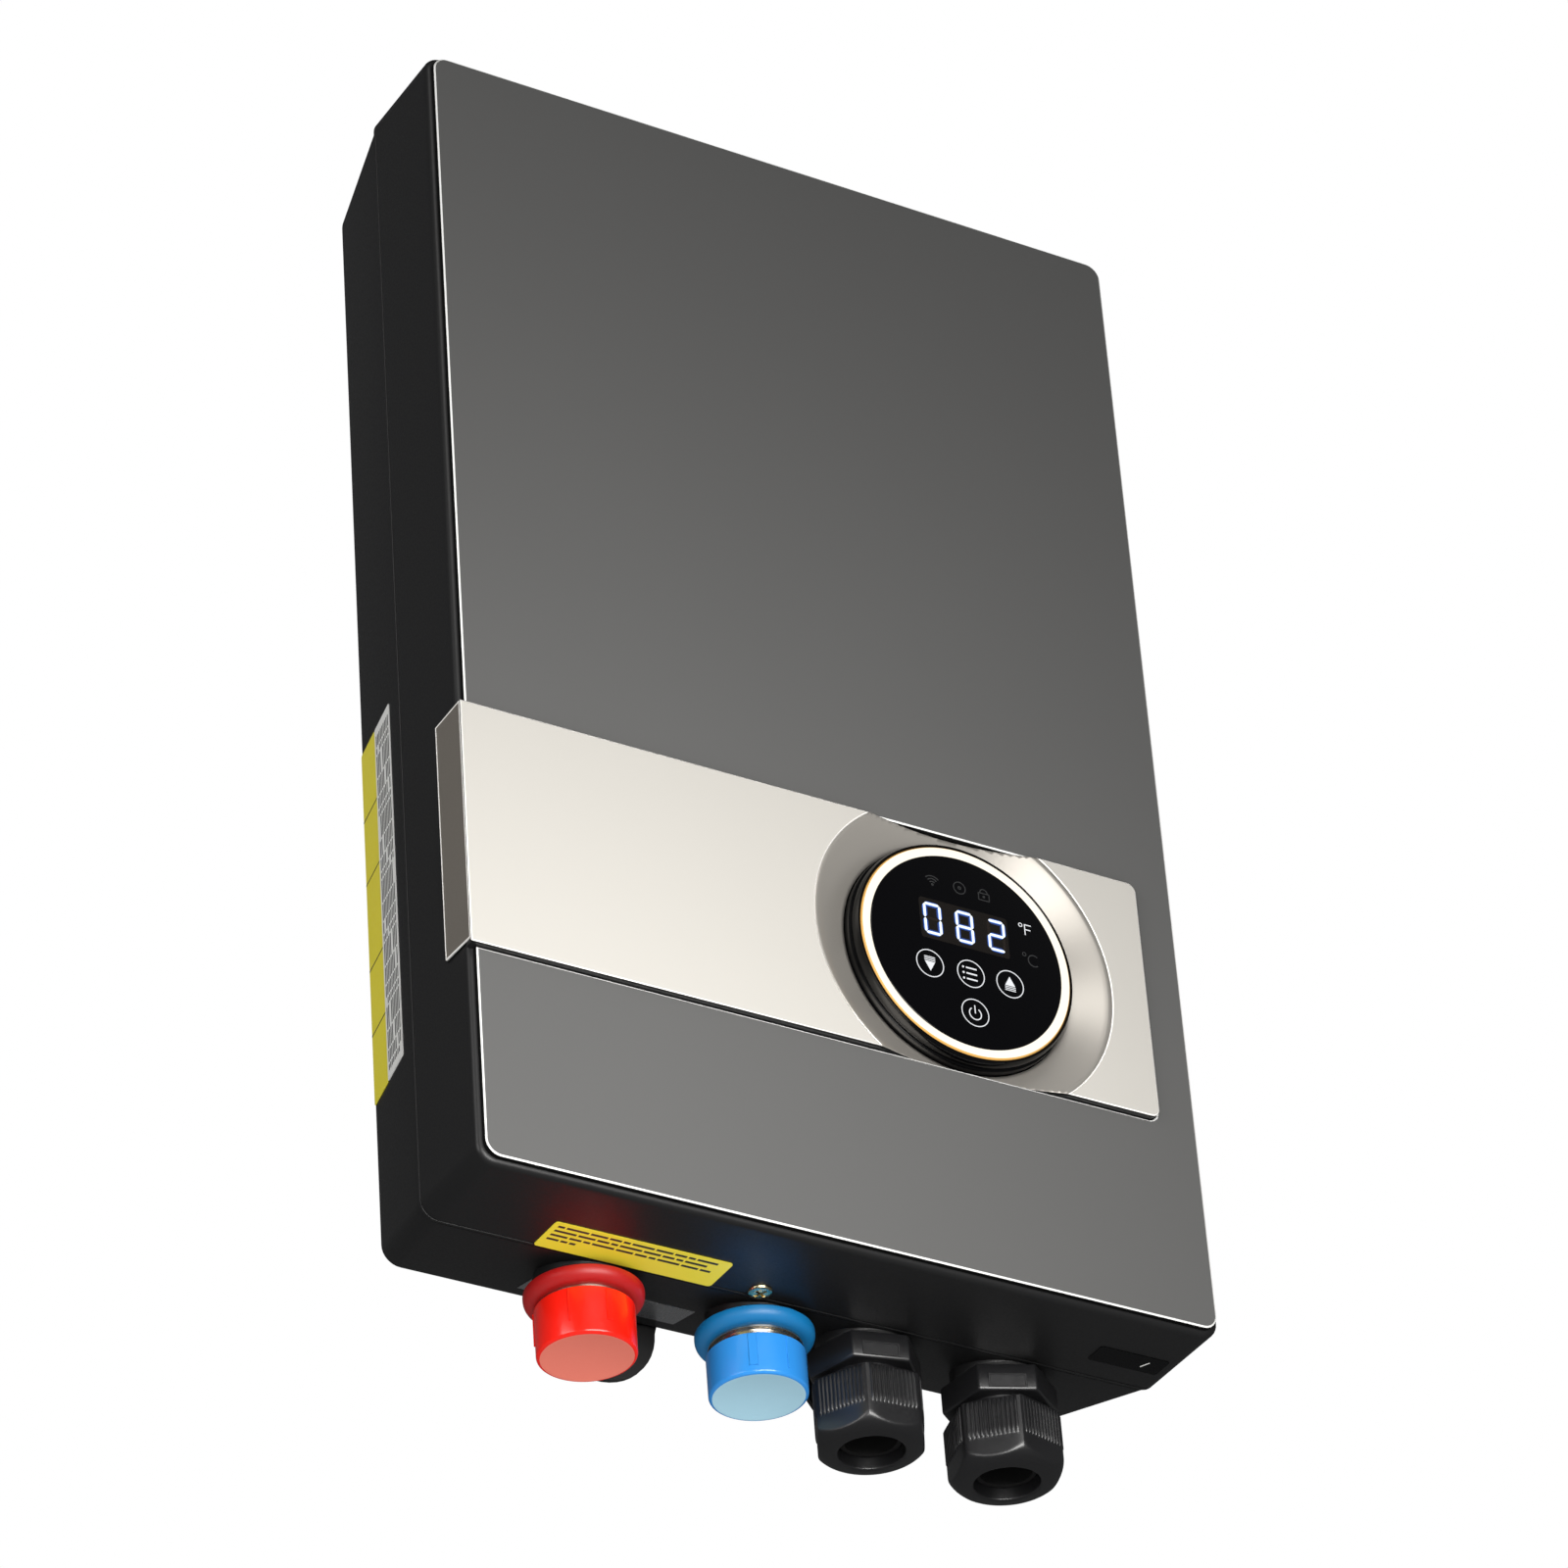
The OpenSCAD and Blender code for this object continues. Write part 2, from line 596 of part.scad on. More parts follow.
module limit_thermostats() color("#d8cfc0") for (x = [-hot_x, -cold_x]) difference() {
  union() {
    block(x - 14, x + 14, stat_d, stat_d + 1, stat_z - 7, stat_z + 7);
    at(x, 0, stat_z) rod(8.5, stat_d + 1, stat_d + 9);
  }
  at(x, 0, stat_z) rod(button_r + run, stat_d + 2, stat_d + 10);
}
module reset_button(x) at(x, 0, stat_z) rod(button_r, stat_d + 4, stat_d + 12);
module reset_button_hot() color("red") reset_button(-hot_x);
module reset_button_cold() color("red") reset_button(-cold_x);

// ---------- electronics ----------

module power_board() color("darkgreen") difference() {
  block(board_left, board_right, post_top, post_top + power_t, board_lo, board_lo + board_h);
  for (x = post_x, z = post_z) at(x, 0, z) rod(1.9, post_top - 1, post_top + power_t + 1);
}
triac_x = [board_x - 24, board_x, board_x + 24];
sink_d = [back_d, 11, 15];
module board_screws() color("silver") {
  for (x = post_x, z = post_z) at(x, 0, z) {
    rod(1.5, 7, post_top + power_t);
    rod(2.8, post_top + power_t, post_top + power_t + 1.8);
  }
  for (x = triac_x) at(x, 0, sink_lo + 34) {
    rod(1.5, sink_d[1] + 1, sink_d[2] + 5);
    rod(2.8, sink_d[2] + 5, sink_d[2] + 6.8);
  }
}
board_face = post_top + power_t;
module relays() color("#1f4fa0") for (x = [board_x - 22, board_x + 6])
  block(x - 14, x + 6, board_face, board_face + 16, board_lo + 88, board_lo + 116);
module power_module() color("#202020") {
  block(board_x - 34, board_x - 4, board_face, board_face + 20, board_lo + 44, board_lo + 78);
  for (x = [board_x + 10, board_x + 30]) at(x, 0, board_lo + 60) rod(8, board_face, board_face + 22);
  for (x = [gland_a_x, gland_b_x])
    block(x - tail_w, x + tail_w, board_face, board_face + 9, board_lo, board_lo + 11);
  block(lead_x - 4, lead_x + 19, board_face, board_face + 9, lead_z - 10, lead_z);
}
module heat_sink() color("silver") difference() {
  union() {
    block(board_x - 40, board_x + 40, sink_d[1], sink_d[2], sink_lo, sink_lo + sink_h);
    for (i = [0:9]) block(board_x - 40 + i * 8.6, board_x - 38 + i * 8.6, sink_d[0], sink_d[1] + 1,
      sink_lo, sink_lo + sink_h);
  }
  for (x = triac_x) at(x, 0, sink_lo + 34) rod(1.6, sink_d[1] - 0.5, sink_d[2] + 1);
}
module triacs() color("#181818") for (x = triac_x) difference() {
  union() {
    block(x - 8, x + 8, sink_d[2], sink_d[2] + 5, sink_lo + 18, sink_lo + 40);
    for (k = [-5, 0, 5]) block(x + k - 0.6, x + k + 0.6, sink_d[2] + 1.5, sink_d[2] + 2.5,
      sink_lo + 4, sink_lo + 18.5);
  }
  at(x, 0, sink_lo + 34) rod(1.8, sink_d[2] - 1, sink_d[2] + 6);
}

module terminal_blocks() color("#e8e4d8") for (x = [gland_a_x, gland_b_x]) difference() {
  block(x - block_w / 2, x + block_w / 2, back_d, block_top, block_z, block_z + block_h);
  for (k = pole_x) {
    at(x + k, 0, block_z + block_h / 2) rod(3.4, block_top - 7, block_top + 1);
    upright(x + k, 16, block_z - 1, block_z + 6, 3);
  }
}
module terminal_screws() color("goldenrod") for (x = [gland_a_x, gland_b_x], k = pole_x)
  at(x + k, 0, block_z + block_h / 2) rod(3.1, block_top - 7, block_top - 3);
module ground_stud() color("goldenrod") {
  at(cover_w / 2 - 20, 0, 52) rod(2.5, back_d, back_d + 14);
  at(cover_w / 2 - 20, 0, 52) translate([0, -back_d, 0]) rotate([90, 0, 0]) cylinder(r = 5.5, h = 4, $fn = 6);
}

module supply_leads() color("#8a1c1c") for (x = [gland_a_x, gland_b_x], k = pole_x)
  upright(x + k, 20, block_z + block_h, board_lo, lead_r);

stud_z = stud_top - 4;
studs = [for (x = [-hot_x, -cold_x], side = [-1, 1]) x + side * rod_x];
// Four leads fan out without crossing: the leftmost stud's lead runs highest and drops last
module element_leads() color("#c03020") for (k = [0:3]) {
  run_z = stud_z + 15 - 5 * k;
  drop_x = lead_x + 15 - 5 * k;
  swept([
    [studs[k], canister_d + 2, stud_z], [studs[k], canister_d + 6, stud_z],
    [studs[k] + 1, canister_d + 9, stud_z + 1.5], [studs[k] + 3, canister_d + 10, run_z - 1],
    [studs[k] + 7, canister_d + 10, run_z], [drop_x - 5, canister_d + 10, run_z],
    [drop_x - 1, canister_d + 10, run_z - 1.5], [drop_x, canister_d + 10, run_z - 6],
    [drop_x, canister_d + 10, lead_z + 34], [drop_x, canister_d + 4, lead_z + 18], [drop_x, 22, lead_z + 7],
    [drop_x, 20, lead_z + 2], [drop_x, 20, lead_z]
  ], lead_r - 0.4);
}

module display_cable() color("#dcdcdc") {
  at(disp_x, 0, display_z) from_wall(cup_d - 10, cup_d - gap) square([14, 7], center = true);
  swept(display_route, 1.8);
  block(disp_x + 9, disp_x + 19, board_face, 27, 188, 196);
}

// ---------- front cover and display ----------

module cover_skin() {
  for (turn = [0:30:90]) let (d = wall_d - bend_r * (1 - sin(turn)), inset = bend_r * (1 - cos(turn)))
    from_wall(d - eps, d) rounded(cover_w - 2 * inset, cover_h - 2 * inset, corner_r, $fn = hull_fn);
  from_wall(seam_d, seam_d + 1) rounded(cover_w, cover_h, corner_r, $fn = hull_fn);
}
module front_cover() color("#262626") difference() {
  union() {
    difference() {
      hull() cover_skin();
      from_wall(seam_d - 1, inner_d)
        rounded(cover_w - 2 * cover_t, cover_h - 2 * cover_t, corner_r - cover_t);
    }
    at(disp_x, 0, display_z) rod(flange_r, collar_d, inner_d + 0.5);
  }
  at(disp_x, 0, display_z) rod(collar_in, collar_d - 1, wall_d + 1);
  upright(lock_x, lock_d, -1, cover_t + 1, lock_r + gap);
}

module notch(grow) translate([0, band_mid - cover_h / 2]) {
  translate([band_left - 10, -band_h / 2 - grow])
    square([band_right - band_left + 10 - 3, band_h + 2 * grow]);
  translate([band_right - 20, 0]) rounded(40 + 2 * grow, band_h + 2 * grow, 3 + grow);
}
panel_w = cover_w - 2 * bend_r;
panel_h = cover_h - 2 * bend_r;
module front_panel() color("#5c5c5a") from_wall(wall_d, panel_d) difference() {
  rounded(panel_w, panel_h, corner_r - 1);
  notch(notch_gap);
}

// The dish's front face at radius r from the display's axis
function dish_d(r) = band_d - dish_slope * (dish_r - r);
module dish_zone() block(band_left, band_right, wall_d - 20, band_d + 10, band_z, band_z + band_h);
module wrap(t0, t1) block(band_left - t1, band_left - t0, panel_d - wrap_d, band_d - band_skin,
  band_z + 1.5, band_z + band_h);

// The band's outline, reaching the given distance past the cover's left side
module band_outline(reach) translate([0, band_mid - cover_h / 2]) {
  translate([band_left - reach, -band_h / 2]) square([band_right - band_left + reach - 3, band_h]);
  translate([band_right - 20, 0]) rounded(40, band_h, 3);
}
wrap_t = 1;                            // thickness of the wrap round the side
wrap_skin = 0.5;                       // the skin's share of it
wrap_core = wrap_t - wrap_skin;
// A layer of the dish, between two depths below its front face
module dish_layer(t0, t1) intersection() {
  dish_zone();
  at(disp_x, 0, display_z) turned([
    [puck_r + gap, dish_d(puck_r + gap) - t1], [puck_r + gap, dish_d(puck_r + gap) - t0],
    [dish_r, band_d - t0], [dish_r, band_d - t1]]);
}
module band_carrier() color("#161616") {
  difference() {
    from_wall(wall_d, band_d - band_skin) band_outline(wrap_core);
    // the seat is cut a little deeper than the backing that lies in it
    at(disp_x, 0, display_z) turned([[0, wall_d - 1], [collar_in, wall_d - 1],
      [collar_in, dish_d(collar_in) - dish_seat],
      [dish_r + 1, dish_d(dish_r + 1) - dish_seat], [0, band_d + 2]]);
  }
  wrap(0, wrap_core);
  dish_layer(band_skin + glue_t, dish_depth);
}
module accent_band() color("#d9d3c9") {
  difference() {
    from_wall(band_d - band_skin, band_d) band_outline(wrap_t);
    at(disp_x, 0, display_z) turned([[0, band_d - 2], [dish_r - 1.2, band_d - 2],
      [dish_r, band_d - band_skin], [dish_r, band_d + 1], [0, band_d + 1]]);
  }
  dish_layer(0, band_skin);
  wrap(wrap_core, wrap_t);
}

lip_d = disp_face - 0.4;
module display_housing() color("#0d0d0d") at(disp_x, 0, display_z) difference() {
  turned([
    [0, cup_d], [puck_r - 2, cup_d], [puck_r - 2, collar_d - flange_t], [flange_r, collar_d - flange_t],
    [flange_r, collar_d], [puck_r, collar_d], [puck_r, lip_d - 4], [puck_r - 0.9, lip_d - 3.4],
    [puck_r - 0.6, lip_d - 2], [ring_r + 0.5, lip_d], [0, lip_d]]);
  turned([
    [0, cup_d + 2], [puck_r - 4, cup_d + 2], [puck_r - 4, board_d], [ring_r, board_d],
    [ring_r, lip_d + 1], [0, lip_d + 1]]);
  from_wall(cup_d - 1, cup_d + 3) square([17, 10], center = true);
}
module light_ring() color("ivory") at(disp_x, 0, display_z) turned([
  [glass_r + fit, disp_face - guide_t], [ring_r - fit, disp_face - guide_t], [ring_r - fit, disp_face - 0.3],
  [ring_r - 0.3, disp_face], [glass_r + fit, disp_face]]);
module display_glass() color("#050505") at(disp_x, 0, display_z) rod(glass_r, disp_face - glass_t, disp_face);
module digit_module() color("#141414") block(disp_x - 17, disp_x + 17, board_d + board_t, disp_face - glass_t,
  display_z + 1, display_z + 18);
module display_board() color("darkgreen") at(disp_x, 0, display_z) {
  rod(ring_r - fit, board_d, board_d + board_t);
  from_wall(cup_d, board_d) square([15, 8], center = true);
}

module cover_screw() color("#d8c27a") {
  upright(lock_x, lock_d, -1, 0, 3.7);
  upright(lock_x, lock_d, 0, 9, lock_r);
}
module cover_nut() color("silver") difference() {
  at(lock_x, lock_d, nut_z) cylinder(r = 4.2, h = 3.2, $fn = 6);
  upright(lock_x, lock_d, nut_z - 1, nut_z + 4, lock_r);
}
module underside_label() color("#e6cf2a") block(-89.6, -30.3, seam_d + 1, seam_d + 15.3, -label_t, 0);

mounting_plate();
rear_shell();
chassis_screws();
side_label();
fitting_plate();
hot_nipple();
cold_nipple();
hot_marker_ring();
cold_marker_ring();
sealing_washers();
port_nuts();
outlet_pipe();
outlet_probe();
flow_sensor_body();
flow_turbine();
inlet_filter();
inlet_pipe();
canister_hot();
canister_cold();
crossover_pipe();
element_hot();
element_cold();
head_gaskets();
head_bolts();
canister_clamps();
limit_thermostats();
reset_button_hot();
reset_button_cold();
power_board();
board_screws();
relays();
power_module();
heat_sink();
triacs();
terminal_blocks();
terminal_screws();
ground_stud();
supply_leads();
element_leads();
display_cable();
gland_body_a();
gland_body_b();
gland_seals();
gland_locknuts();
gland_nut_a();
gland_nut_b();
hot_cap();
cold_cap();
front_cover();
front_panel();
band_carrier();
accent_band();
display_housing();
light_ring();
display_glass();
digit_module();
display_board();
cover_screw();
cover_nut();
underside_label();
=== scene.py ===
"""Wall-hung electric tankless water heater: finished surfaces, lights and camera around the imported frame."""

import math

import bmesh
import bpy
from mathutils import Matrix, Vector


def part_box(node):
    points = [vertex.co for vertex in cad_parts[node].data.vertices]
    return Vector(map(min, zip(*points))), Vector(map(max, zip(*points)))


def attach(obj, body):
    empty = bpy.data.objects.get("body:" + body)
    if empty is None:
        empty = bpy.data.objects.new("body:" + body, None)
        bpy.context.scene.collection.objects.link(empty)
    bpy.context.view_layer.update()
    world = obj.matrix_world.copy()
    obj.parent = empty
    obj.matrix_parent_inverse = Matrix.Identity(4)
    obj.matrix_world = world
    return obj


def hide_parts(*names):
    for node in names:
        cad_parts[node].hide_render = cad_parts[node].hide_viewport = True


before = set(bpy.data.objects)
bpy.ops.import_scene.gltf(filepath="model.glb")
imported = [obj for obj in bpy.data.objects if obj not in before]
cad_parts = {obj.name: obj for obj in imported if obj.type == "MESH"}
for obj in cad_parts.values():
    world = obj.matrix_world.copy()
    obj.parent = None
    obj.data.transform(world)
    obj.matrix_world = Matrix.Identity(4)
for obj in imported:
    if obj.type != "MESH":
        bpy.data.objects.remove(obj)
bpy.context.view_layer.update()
MM = 0.001
TAU = 2 * math.pi


# ---------- places and sizes, from the frame ----------

def lo_hi(node):
    lo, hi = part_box(node)
    return Vector(lo), Vector(hi)


COVER_LO, COVER_HI = lo_hi("front_cover")
PANEL_LO, PANEL_HI = lo_hi("front_panel")
SHELL_LO, SHELL_HI = lo_hi("rear_shell")
BAND_LO, BAND_HI = lo_hi("accent_band")
GLASS_LO, GLASS_HI = lo_hi("display_glass")
RING_LO, RING_HI = lo_hi("light_ring")
HOUSE_LO, HOUSE_HI = lo_hi("display_housing")
BOTTOM = COVER_LO.z
WALL_Y = COVER_LO.y                     # outer face of the cover's front wall
PANEL_Y = PANEL_LO.y                    # face of the front panel
BAND_Y = BAND_LO.y                      # face of the accent band
SEAM_Y = COVER_HI.y
CORNER = 6 * MM
COVER_WALL = 1.5 * MM
DISPLAY = Vector(((GLASS_LO.x + GLASS_HI.x) / 2, GLASS_LO.y, (GLASS_LO.z + GLASS_HI.z) / 2))
GLASS_R = (GLASS_HI.x - GLASS_LO.x) / 2
RING_R = (RING_HI.x - RING_LO.x) / 2
PUCK_R = RING_R + 2.1 * MM
DISH_R = 52.9 * MM
DISH_SLOPE = 0.43
OPENING_R = (HOUSE_HI.x - HOUSE_LO.x) / 2 - 4 * MM
COLLAR_Y = WALL_Y + 3.45 * MM
BAND_SKIN = 0.8 * MM
SHELL_LEAN = 8.2 * MM                   # how far each side of the rear shell leans in
SHELL_FRONT = 41.7 * MM                 # depth of the rear shell's front edge from the wall
SHELL_RUN = 40.2 * MM                   # depth over which its sides lean


def axis_of(node):
    lo, hi = lo_hi(node)
    return Vector(((lo.x + hi.x) / 2, (lo.y + hi.y) / 2, 0))


# ---------- materials ----------

def new_material(name):
    material = bpy.data.materials.new(name)
    material.use_nodes = True
    return material, material.node_tree.nodes, material.node_tree.links


def noise(nodes, links, scale, detail=3.0, roughness=0.5, stretch=(1, 1, 1), seed=0.0):
    """Object-space noise, its size given in repeats a metre, stretched along an axis where asked."""
    coordinates = nodes.new("ShaderNodeTexCoord")
    mapping = nodes.new("ShaderNodeMapping")
    mapping.inputs["Scale"].default_value = stretch
    mapping.inputs["Location"].default_value = (seed, seed * 0.7, seed * 1.3)
    texture = nodes.new("ShaderNodeTexNoise")
    texture.inputs["Scale"].default_value = scale
    texture.inputs["Detail"].default_value = detail
    texture.inputs["Roughness"].default_value = roughness
    links.new(coordinates.outputs["Object"], mapping.inputs["Vector"])
    links.new(mapping.outputs["Vector"], texture.inputs["Vector"])
    return texture.outputs["Fac"]


def ramp(nodes, links, fac, low, high, start=0.3, end=0.7):
    node = nodes.new("ShaderNodeMapRange")
    node.inputs["From Min"].default_value = start
    node.inputs["From Max"].default_value = end
    node.inputs["To Min"].default_value = low
    node.inputs["To Max"].default_value = high
    links.new(fac, node.inputs["Value"])
    return node.outputs["Result"]


def tint(nodes, links, fac, dark, light):
    node = nodes.new("ShaderNodeMix")
    node.data_type = "RGBA"
    node.inputs["A"].default_value = (*dark, 1)
    node.inputs["B"].default_value = (*light, 1)
    links.new(fac, node.inputs["Factor"])
    return node.outputs["Result"]


def bump(nodes, links, shader, height, strength, depth):
    node = nodes.new("ShaderNodeBump")
    node.inputs["Strength"].default_value = strength
    node.inputs["Distance"].default_value = depth
    links.new(height, node.inputs["Height"])
    links.new(node.outputs["Normal"], shader.inputs["Normal"])


def surface(name, color, rough, spread=0.06, shade=0.12, grain=900, grain_depth=0.00003, metallic=0.0,
            coat=0.0, coat_rough=0.1, specular=0.5, stretch=(1, 1, 1), mottle=14):
    """A finish with slow mottling in colour and gloss and a fine grain that the light catches."""
    material, nodes, links = new_material(name)
    shader = nodes["Principled BSDF"]
    slow = noise(nodes, links, mottle, 4.0, 0.55, stretch)
    fine = noise(nodes, links, grain, 2.0, 0.6, stretch, 3.1)
    dark = tuple(c * (1 - shade) for c in color)
    light = tuple(min(1.0, c * (1 + shade)) for c in color)
    links.new(tint(nodes, links, slow, dark, light), shader.inputs["Base Color"])
    links.new(ramp(nodes, links, fine, max(0.02, rough - spread), rough + spread), shader.inputs["Roughness"])
    shader.inputs["Metallic"].default_value = metallic
    shader.inputs["Specular IOR Level"].default_value = specular
    if coat:
        shader.inputs["Coat Weight"].default_value = coat
        shader.inputs["Coat Roughness"].default_value = coat_rough
    bump(nodes, links, shader, fine, 0.35, grain_depth)
    return material


def glowing(name, color, strength, base=(0.02, 0.02, 0.02)):
    material, nodes, links = new_material(name)
    shader = nodes["Principled BSDF"]
    fine = noise(nodes, links, 1500, 2.0)
    links.new(ramp(nodes, links, fine, 0.25, 0.4), shader.inputs["Roughness"])
    shader.inputs["Base Color"].default_value = (*base, 1)
    shader.inputs["Emission Color"].default_value = (*color, 1)
    shader.inputs["Emission Strength"].default_value = strength
    return material


def make_materials():
    steel_black = dict(spread=0.05, shade=0.1, grain=1400, grain_depth=0.00002)
    return {
        "cover": surface("cover_black", (0.0115, 0.0115, 0.012), 0.40, specular=0.42, **steel_black),
        "shell": surface("shell_black", (0.0105, 0.0105, 0.011), 0.42, specular=0.45, **steel_black),
        "plate": surface("plate_black", (0.012, 0.012, 0.012), 0.5, **steel_black),
        "panel": surface("panel_grey", (0.122, 0.122, 0.120), 0.42, 0.02, 0.04, 600, 0.000003, specular=0.35,
                         mottle=5),
        # painted highlight: near-white colour on the panel's bevelled edge, standing in for the light that
        # edge catches
        "panel_highlight_edge": surface("painted_highlight_panel_rim", (0.93, 0.93, 0.91), 0.3, 0.03, 0.02, 900, 0.000005),
        "band": surface("band_champagne", (0.565, 0.545, 0.505), 0.46, 0.03, 0.015, 1800, 0.000006,
                        metallic=0.0, specular=0.35, mottle=6),
        # painted highlight: near-white colour on the band's edges and dish rim, standing in for the light
        # their rounded lips catch
        "band_highlight_edge": surface("painted_highlight_band_rim", (0.97, 0.95, 0.91), 0.3, 0.03, 0.02, 1200, 0.000005),
        "dish": surface("dish_champagne", (0.72, 0.68, 0.62), 0.30, 0.01, 0.01, 1200, 0.0000004, metallic=0.7,
                        mottle=6),
        # painted shade: the band's champagne darkened for its side return, which sits in shade
        "wrap": surface("champagne_wrap_painted_shade", (0.21, 0.19, 0.165), 0.4, 0.04, 0.06, 1800, 0.000008, metallic=0.3),
        "black": surface("moulded_black", (0.008, 0.008, 0.0085), 0.38, grain=1800, grain_depth=0.00002),
        "gloss_black": surface("gloss_black", (0.0015, 0.0015, 0.0017), 0.16, 0.03, specular=0.25,
                               grain=900, grain_depth=0.000002),
        "glass": surface("display_black", (0.0015, 0.0015, 0.002), 0.06, 0.015,
                         grain=500, grain_depth=0.000001, specular=0.25),
        "ring": glowing("ring_light", (1.0, 0.93, 0.80), 0.98, (0.2, 0.18, 0.14)),
        "ring_rim": glowing("ring_amber", (0.95, 0.55, 0.16), 0.6, (0.3, 0.15, 0.03)),
        "digit": glowing("digit_white", (0.86, 0.93, 1.0), 1.4),
        "halo": glowing("digit_halo", (0.06, 0.28, 1.0), 1.0),
        "halo_soft": glowing("digit_halo_soft", (0.01, 0.07, 0.45), 0.4),
        "segment_off": surface("segment_off", (0.016, 0.012, 0.010), 0.25, grain=900, grain_depth=0.000002),
        "icon": glowing("icon_white", (0.95, 0.97, 1.0), 0.95),
        "icon_dim": glowing("icon_dim", (0.6, 0.62, 0.66), 0.022),
        "window": surface("digit_window", (0.0085, 0.007, 0.006), 0.2, grain=900, grain_depth=0.000002),
        "shadow_black": surface("edge_black", (0.003, 0.003, 0.003), 0.6, grain=900, specular=0.2),
        "cap_red": surface("cap_red", (0.93, 0.012, 0.004), 0.24, 0.03, 0.06, 700, 0.000008, coat=0.4,
                           coat_rough=0.15),
        # frosted end: desaturated by its finish, and also made lighter as painted light on the downward face
        "cap_red_end": surface("frosted_and_painted_light_red_end", (0.85, 0.20, 0.14), 0.62, 0.08, 0.12, 1500, 0.00004),
        "ring_red": surface("marker_red", (0.42, 0.006, 0.006), 0.42, 0.05, 0.1, 900, 0.00002),
        "cap_blue": surface("cap_blue", (0.03, 0.27, 0.74), 0.24, 0.03, 0.06, 700, 0.000008, coat=0.4,
                            coat_rough=0.15),
        # frosted end: desaturated by its finish, and also made lighter as painted light on the downward face
        "cap_blue_end": surface("frosted_and_painted_light_blue_end", (0.40, 0.66, 0.80), 0.62, 0.08, 0.12, 1500, 0.00004),
        "ring_blue": surface("marker_blue", (0.004, 0.17, 0.42), 0.42, 0.05, 0.1, 900, 0.00002),
        "nylon": surface("gland_nylon", (0.010, 0.010, 0.011), 0.34, 0.04, 0.1, 1100, 0.00001, specular=0.9),
        "rubber": surface("seal_rubber", (0.012, 0.012, 0.012), 0.62, 0.08, 0.15, 1600, 0.00005),
        "stainless": surface("turned_stainless", (0.62, 0.58, 0.5), 0.22, 0.06, 0.08, 1500, 0.00002, 1.0,
                             stretch=(1, 1, 14)),
        "steel": surface("plain_steel", (0.56, 0.56, 0.57), 0.3, 0.06, 0.1, 1300, 0.00002, 1.0,
                         stretch=(1, 1, 8)),
        "brass": surface("brass", (0.78, 0.55, 0.2), 0.28, 0.05, 0.1, 1200, 0.00002, 1.0),
        "copper": surface("copper", (0.78, 0.36, 0.2), 0.3, 0.08, 0.16, 500, 0.00003, 1.0, stretch=(1, 1, 6)),
        "zinc": surface("yellow_zinc", (0.85, 0.74, 0.45), 0.26, 0.06, 0.12, 1500, 0.00002, 1.0),
        "aluminium": surface("aluminium", (0.72, 0.73, 0.74), 0.36, 0.05, 0.06, 900, 0.00002, 1.0,
                             stretch=(10, 1, 1)),
        "board": surface("board_green", (0.012, 0.10, 0.035), 0.32, 0.05, 0.2, 400, 0.00004),
        "ivory": surface("ivory_moulding", (0.70, 0.66, 0.55), 0.4, 0.05, 0.05, 1200, 0.00002),
        "relay": surface("relay_blue", (0.02, 0.08, 0.36), 0.3, 0.05, 0.06, 1200, 0.00002),
        "epoxy": surface("epoxy_black", (0.015, 0.015, 0.016), 0.42, 0.05, 0.1, 1800, 0.00004),
        "lead": surface("lead_red", (0.5, 0.02, 0.015), 0.35, 0.05, 0.08, 900, 0.00003),
        "ribbon": surface("lead_grey", (0.45, 0.45, 0.46), 0.45, 0.05, 0.08, 900, 0.00003),
        "button": surface("button_red", (0.72, 0.02, 0.015), 0.25, 0.04, 0.05, 900, 0.00001),
        "foil": surface("silver_foil", (0.66, 0.66, 0.67), 0.3, 0.06, 0.08, 700, 0.00003, 1.0,
                        stretch=(6, 1, 1)),
        "label_yellow": surface("label_yellow", (0.80, 0.70, 0.04), 0.36, 0.04, 0.04, 700, 0.00002),
        "label_white": surface("label_white", (0.78, 0.78, 0.76), 0.4, 0.04, 0.03, 700, 0.00002),
        "label_ink": surface("label_ink", (0.03, 0.03, 0.03), 0.45, 0.04, 0.05, 900, 0.00001),
    }


MAT = make_materials()


# ---------- mesh helpers ----------

def new_piece(name, bm, materials, angle):
    """Turns a bmesh into an object with smooth faces and creases sharper than the angle kept."""
    mesh = bpy.data.meshes.new(name)
    bm.to_mesh(mesh)
    bm.free()
    for polygon in mesh.polygons:
        polygon.use_smooth = True
    mesh.set_sharp_from_angle(angle=math.radians(angle))
    for material in materials:
        mesh.materials.append(MAT[material])
    piece = bpy.data.objects.new(name, mesh)
    bpy.context.scene.collection.objects.link(piece)
    return piece


def finish_mesh(name, bm, materials, angle=35, weld=0.0):
    """A closed piece with its faces turned outwards and, where asked, its double points joined."""
    if weld:
        bmesh.ops.remove_doubles(bm, verts=bm.verts, dist=weld)
    bmesh.ops.recalc_face_normals(bm, faces=bm.faces)
    return new_piece(name, bm, materials, angle)


def place(piece, body, slot, *nodes):
    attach(piece, body)
    if nodes:
        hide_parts(*nodes)
    return piece


def ring_of(bm, points):
    return [bm.verts.new(p) for p in points]


def bridge(bm, a, b, material=0, closed=True):
    count = len(a)
    for i in range(count if closed else count - 1):
        j = (i + 1) % count
        face = bm.faces.new((a[i], a[j], b[j], b[i]))
        face.material_index = material


def outline(width, height, radius, inset=0.0, steps=8, centre=(0.0, 0.0)):
    """A rounded rectangle seen from the front, as (x, z) points."""
    half_w, half_h = width / 2 - inset, height / 2 - inset
    r = max(radius - inset, 0.0005)
    points = []
    for quarter, (sx, sz) in enumerate(((1, 1), (-1, 1), (-1, -1), (1, -1))):
        for k in range(steps + 1):
            a = quarter * math.pi / 2 + k / steps * math.pi / 2
            points.append((centre[0] + sx * (half_w - r) + r * math.cos(a),
                           centre[1] + sz * (half_h - r) + r * math.sin(a)))
    return points


